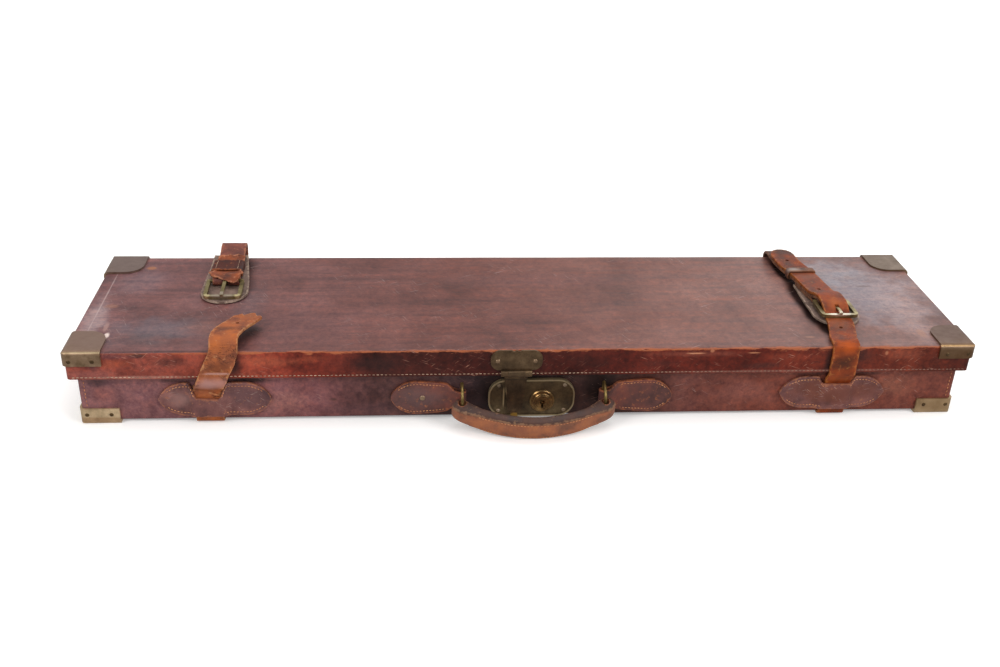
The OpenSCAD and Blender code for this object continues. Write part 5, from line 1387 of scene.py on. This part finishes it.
def buildLeftEnd(s):
    heel = s["heelLeft"]
    rear = caseSize["rear"]
    sway = [(-289, 20), (-289, heel[1] - 8), (-289, heel[1] + 8), (-289.2, 70), (-288.4, 88), (-288.6, 108),
            (-289.6, 122), (-292, 128)]
    over = [(5, 2.95), (11, 1.8), (19, 1.1), (29, 1.6)]
    side = wrapped(heel, [(33, -0.9), (29, -1.05), (19, -1.5), (11, -0.95), (5, -2.5)], over, s["wrap"])
    side += [(rear + y, lidTop + z) for y, z in (
        (-32, 11.3), (-20, 14.6), (-10, 16.5), (-3.6, 16.2), (0.7, 13), (1.6, 8), (1.3, 1.8))]
    piece = layStrap("strapEndLeft", strapRun(side, sway, 1.5), s["wide"], s["thick"], 14, ripple=0.18, ragged=0.3,
                     seed=21.0)
    carve(piece, addBlock("slotCut", (-291.4, heel[1] - 8, 76), (-286.6, heel[1] + 6.5, 90)))
    finishPiece(piece, "strap_end_left", [plumStrapFinish], ["strap_end_left"])

    # the outer ply, frayed where it went round the bar; it droops into the frame on its right
    top = [(14.0, 2.5), (10.5, 3.2), (6.5, 4.25), (3.0, 5.1), (0.0, 5.35), (-3.0, 4.6), (-6.2, 2.6), (-9.4, 0.4)]
    line = smoothRun([(-289.0, heel[1] + v, heel[2] + h + 0.9) for v, h in top], 0.9)
    length = lengthsAlong(line)[-1]
    frayed = tornTip((8.6, 7.6, 6.8, 6.6, 5.6, 4.8, 3.8, 2.8, 2.0, 1.3, 0.9, 2.2, 7.4), 0.8, 5.2)
    widths = [(0, 25.5), (4.5, 27.5), (8, 31.5), (11, 33.0), (13, 28.5), (length, 27.4)]
    piece = layStrap("frayedPly", line, widths, 1.7, 26, end=frayed, ripple=0.5, ragged=0.7, seed=31.0,
                     zone=length * 0.9, edge=0.35, lift=lambda a, u: -1.5 * abs(u) ** 5)
    finishPiece(piece, None, [frayedFinish])
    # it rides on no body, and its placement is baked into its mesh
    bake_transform(piece)

    # the ply goes on behind the keeper and ends in a cracked ledge
    side = [(heel[1] + 35.4, heel[2] + 5.3), (heel[1] + 41, lidTop + 12.7), (rear - 26, lidTop + 15.2)]
    line = strapRun(side, sway, 0.9)
    ledge = tornTip((3.4, 1.4, 2.0, 0.8, 1.8, 0.4, 1.4, 2.6), 0.7, 9.1)
    piece = layStrap("rearPly", line, [(0, 26.4), (30, 27.6)], 1.5, 18, end=ledge, ripple=0.3, ragged=0.5,
                     seed=35.0, zone=7, edge=0.3)
    finishPiece(piece, "strap_end_left", [frayedFinish])

    # pad under the buckle
    pad = [(heel[1] - 36.8, lidTop + 1.55), (heel[1] - 20, lidTop + 1.5), (heel[1], lidTop + 1.5),
           (heel[1] + 9, lidTop + 2.1), (heel[1] + 19, heel[2] - 4.35), (heel[1] + 29, heel[2] - 3.95),
           (rear - 31.4, lidTop + 5.9), (rear - 18.6, lidTop + 9.4)]
    line = strapRun(pad, [(-288.6, 0), (-289, 40), (-290.2, 75), (-290.6, 104)], 1.5)
    piece = layStrap("padLeft", line, padWidths([(41, 43.4), (56, 41.0), (92, 33.5)]), 2.2, 20, ripple=0.25,
                     ragged=0.3, seed=41.0, edge=0.7, lift=lambda a, u: 0.5 * abs(u) ** 6)
    finishPiece(piece, "strap_end_left", [padFinish], ["safe_left"])

    # keeper: an arch of hide over both plies
    middle = (-290.2, heel[1] + 25.0, heel[2] + 1.35)
    arch = [(-14.7, -3.2), (-14.8, 0.8), (-14.2, 3.1), (-12.2, 4.2), (-6, 4.25), (0, 4.15), (6, 4.25), (12.2, 4.2),
            (14.2, 3.1), (14.8, 0.8), (14.7, -3.2)]
    line = smoothRun([(middle[0] + x, middle[1], middle[2] + z) for x, z in arch], 1.0)
    piece = layStrap("keeperLeft", line, 22.4, 1.6, 12, (0, -1, 0), ripple=0.2, ragged=0.5, seed=51.0, edge=0.5,
                     crown=-0.3)
    finishPiece(piece, "strap_end_left", [keeperFinish], ["keeper_left"])
    seams = [([(middle[0] + x, middle[1] + y, middle[2] + 4.95) for y in (-9.6, 9.6)], (0, 0, 1))
             for x in (-10.6, 10.6)]
    sewLine("keeperThreads", seams, "strap_end_left", creamThread, fineStitch)

    # the fixed piece on the lid's rear wall
    line = smoothRun([(x, rear + 1.3, z) for x, z in ((-293, 76.9), (-293, 66), (-292.6, 56), (-292.2, 49.8))], 2.5)
    piece = layStrap("strapRiseLeft", line, s["wide"], s["thick"] - 0.1, ripple=0.08, ragged=0.15, seed=61.0)
    finishPiece(piece, "lid", [plumStrapFinish], ["strap_rise_left"])


def buildRight(s):
    heel = s["heelRight"]
    rear = caseSize["rear"]
    x0 = s["rightX"]
    sway = [(x0 + x, lidFront + y) for x, y in (
        (1.5, -30), (1.5, -12), (1.5, 10), (5.4, 24), (9.2, 45), (10.3, 64), (10.2, 80), (6.9, 96), (4, 120),
        (1.3, 143), (-3.2, 156), (-6.2, 170))] + [(x0 - 7.2, rear - 16), (x0 - 6.6, rear + 12)]
    under = [(47, -3.1), (36, -3.0), (20, -2.8), (12, -2.2), (5, -2.9)]
    over = [(5, 2.5), (12, 0.6), (20, -0.2), (46, -0.3)]
    side = wrapped(heel, under, over, s["wrap"])
    side += [(heel[1] + 62, lidTop + 6.0), (heel[1] + 82, lidTop + 6.9)] + [(rear + y, lidTop + z) for y, z in (
        (-16, 8.2), (-7, 7.6), (-1.6, 4.6), (1.1, 0.2), (1.35, -6), (1.35, -14), (1.35, -26.2))]
    line = strapRun(side, sway, 1.5)
    # down the rear wall it comes back in line with its loop
    drop = np.clip((lidTop + 2 - line[:, 2]) / 24.0, 0, 1) * (line[:, 1] > rear - 4)
    line[:, 0] += drop * 5.4
    piece = layStrap("strapRearRight", line, s["wide"], s["thick"], 14, ripple=0.15, ragged=0.3, seed=71.0)
    carve(piece, addBlock("slotCut", (298.1, heel[1] - 8, 76), (302.9, heel[1] + 6.5, 90)))
    finishPiece(piece, "lid", [rearStrapFinish], ["strap_rear_right"])

    front = [(-80.815, 34.9), (-81.0, 37.1), (-83.3, 41.3)]
    front += [(lidFront + y, z) for y, z in (
        (-1.4, 47.4), (-1.45, 53), (-1.5, 61), (-1.5, 67), (-1.5, 72.6), (-0.9, 75.8), (1.8, 78.4), (6, 79.1),
        (14, 78.8), (24, 78.7), (33, 79.4))]
    front += [(heel[1] + y, z) for y, z in (
        (-41, 80.0), (-34, 79.75), (-29, 79.85), (-26, 81.2), (-22.5, 83.6), (-18, 86.0), (-12.5, 87.6))]
    front += [(heel[1] + y, heel[2] + z) for y, z in (
        (-5, 5.65), (1, 5.98), (7, 5.4), (13, 3.6), (20, 2.7), (46, 2.5))]
    front += [(heel[1] + 62, lidTop + 8.9), (heel[1] + 82, lidTop + 9.9), (rear - 11, lidTop + 11.6)]
    tip = sway[:10] + [(x0 + x, lidFront + y) for x, y in ((-2.8, 156), (-5.4, 166), (-6.8, 178), (-6.9, 194))]
    line = strapRun(front, tip, 1.5)
    piece = layStrap("billetRight", line, s["wide"] - 0.2, s["thick"], 16, end=roundTip(12.4, 12.4),
                     ripple=0.15, ragged=0.3, seed=81.0, lift=bentAcross((12, 0.3, 2.0), (48, 0.25, 2.5)))
    for place in ((294.6, lidFront + 30, 79), (295.2, lidFront + 99, 87), (283.2, lidFront + 167, 86)):
        punch(piece, place, 1.75)
    carve(piece, addBlock("slotCut", (298.5, heel[1] - 23.6, 77), (302.5, heel[1] - 16.6, 96)))
    finishPiece(piece, "lid", [rightFinish], ["strap_billet_right"])

    # the prong runs under the strap and comes up through it just behind the front bar
    rod = [(3.1, 0), (2.2, 2.2), (0, 3.0), (-6, 1.9), (-12, 1.4), (-16, 1.6), (-20, 2.5), (-24.5, 3.2),
           (-30.4, 3.05), (-32.6, 2.7)]
    line = smoothRun([(300.5, heel[1] + v, heel[2] + h) for v, h in rod], 0.9)
    piece = layStrap("prongRight", line, 3.2, 2.3, 6, (1, 0, 0), ripple=0.04, ragged=0.05, seed=99.0, edge=0.7)
    finishPiece(piece, "lid", [buckleFinish], ["buckle_prong_right"])

    # pad
    line = strapRun([(heel[1] + y, lidTop + 1.2) for y in (-40, -10, 20, 50)],
                    [(300.5, heel[1] - 42), (300.5, heel[1] - 10), (299.5, heel[1] + 8), (295.5, heel[1] + 50)], 1.5)
    piece = layStrap("padRight", line, padWidths([(45, 43.6), (90, 33.0)]), 2.25, 20, ripple=0.08, ragged=0.3,
                     seed=91.0, edge=0.7)
    finishPiece(piece, "lid", [padFinish], ["safe_right"])

    # keeper: a narrow loop round both straps
    y, z = heel[1] + 63.0, lidTop + 7.9
    loop = [(0, -4.4), (11.6, -4.4), (13.6, -3.4), (13.8, 0), (13.7, 2.6), (12.2, 3.6), (6, 3.75), (0, 3.7),
            (-6, 3.75), (-12.2, 3.6), (-13.7, 2.6), (-13.8, 0), (-13.6, -3.4), (-11.6, -4.4), (-0.5, -4.4)]
    line = smoothRun([(290.2 + x, y, z + h) for x, h in loop], 1.0)
    piece = layStrap("keeperRight", line, 8.0, 1.6, 8, (0, 1, 0), ripple=0.15, ragged=0.25, seed=95.0, edge=0.45)
    finishPiece(piece, "lid", [rearStrapFinish], ["keeper_right"])


buildLeftEnd(strapShape)
buildRight(strapShape)
print("straps laid")

# Thread on the hides

hideThread = {"long": 2.5, "wide": 0.75, "high": 0.6, "pitch": 3.7, "wobble": 0.25}


def sewHides(c):
    z = c["lidLow"] + 1.9
    out = 0.12
    half, front, rear = c["lidHalf"] + out, c["lidFront"] - out, c["rear"] + out
    turn = 4.5
    routes = [([(-half + turn, front, z), (half - turn, front, z)], (0, -1, 0)),
              ([(-half, c["lidFront"] + turn, z), (-half, c["rear"] - turn, z)], (-1, 0, 0)),
              ([(half, c["lidFront"] + turn, z), (half, c["rear"] - turn, z)], (1, 0, 0))]
    gaps = [x + side * (hingeReach + 1.5) for x in hingePlaces for side in (-1, 1)]
    stops = [-half + turn] + gaps + [half - turn]
    for a, b in zip(stops[::2], stops[1::2]):
        routes.append(([(a, rear, z), (b, rear, z)], (0, 1, 0)))
    sewLine("lidThreads", routes, "lid", creamThread, hideThread, sunk=0.2)
    half, front, rear = c["half"] + out, c["front"] - out, c["rear"] + out
    levels, inset = (17.2, 48.0), 5.6
    routes = []
    for side in (-1, 1):
        for y, facing in ((front, -1), (rear, 1)):
            routes.append(([(side * (c["half"] - inset), y, z) for z in levels], (0, facing, 0)))
        for y in (c["front"] + inset, c["rear"] - inset):
            routes.append(([(side * half, y, z) for z in levels], (side, 0, 0)))
    sewLine("cornerThreads", routes, "base", orangeThread, hideThread, sunk=0.12)


sewHides(caseSize)


def sewGrip(shape):
    # a line of thread along the grip's upper and lower outer edge
    middle, half, bow, sweep = gripBow(shape)
    droop = math.radians(shape["droop"])
    routes = []
    for side in (1, -1):
        route = []
        for t in np.linspace(-0.74, 0.74, 40):
            angle = t * sweep
            out = shape["thick"] / 2 + 0.05
            x, y = math.sin(angle) * (bow + out), -math.cos(angle) * (bow + out) + bow - middle
            fromRing = abs(math.sin(angle) * bow) - half
            z = side * (shape["wide"] / 2 - 3.4 - max(0.0, 1 + fromRing / 26.0) * 2.0)
            route.append(drooped(shape, x, y, z))
        routes.append((route, (0, -math.cos(droop), -math.sin(droop))))
    sewLine("gripThreads", routes, "handle", orangeThread, fineStitch)


sewGrip(handleShape)
print("threads sewn")

# Metal and wood keep the frame's shapes and take these finishes

nodeFinishes = (  # the first row with the start of a node's name gives its finish
    (nailFinish, ("lid_corner_nails", "base_corner_nails")),
    (brassFinish, ("lid_corner", "hasp_rivets")),
    (baseBrassFinish, ("base_corner",)),
    (hingeFinish, ("base_hinge_leaves", "lid_hinge_leaves")),
    (lockPlateFinish, ("lock_plate",)),
    (lockNailFinish, ("lock_nails",)),
    (bossFinish, ("key_boss",)),
    (haspFinish, ("hasp_plate",)),
    (ringFinish, ("handle_ring",)),
    (buckleFinish, ("buckle_",)),
    (steelFinish, ("lock_bolt", "lock_case", "hinge_pins", "hasp_pin", "hasp_staple")),
    (lockFinish, ("hasp",)),
)
for nodeName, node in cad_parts.items():
    finish = next((f for f, starts in nodeFinishes if nodeName.startswith(starts)), None)
    if nodeName.endswith(("_board", "_boards")):
        finish = oakFinish
    if finish is not None:
        for slot in node.material_slots:
            slot.material = finish
print("metal and wood finished")
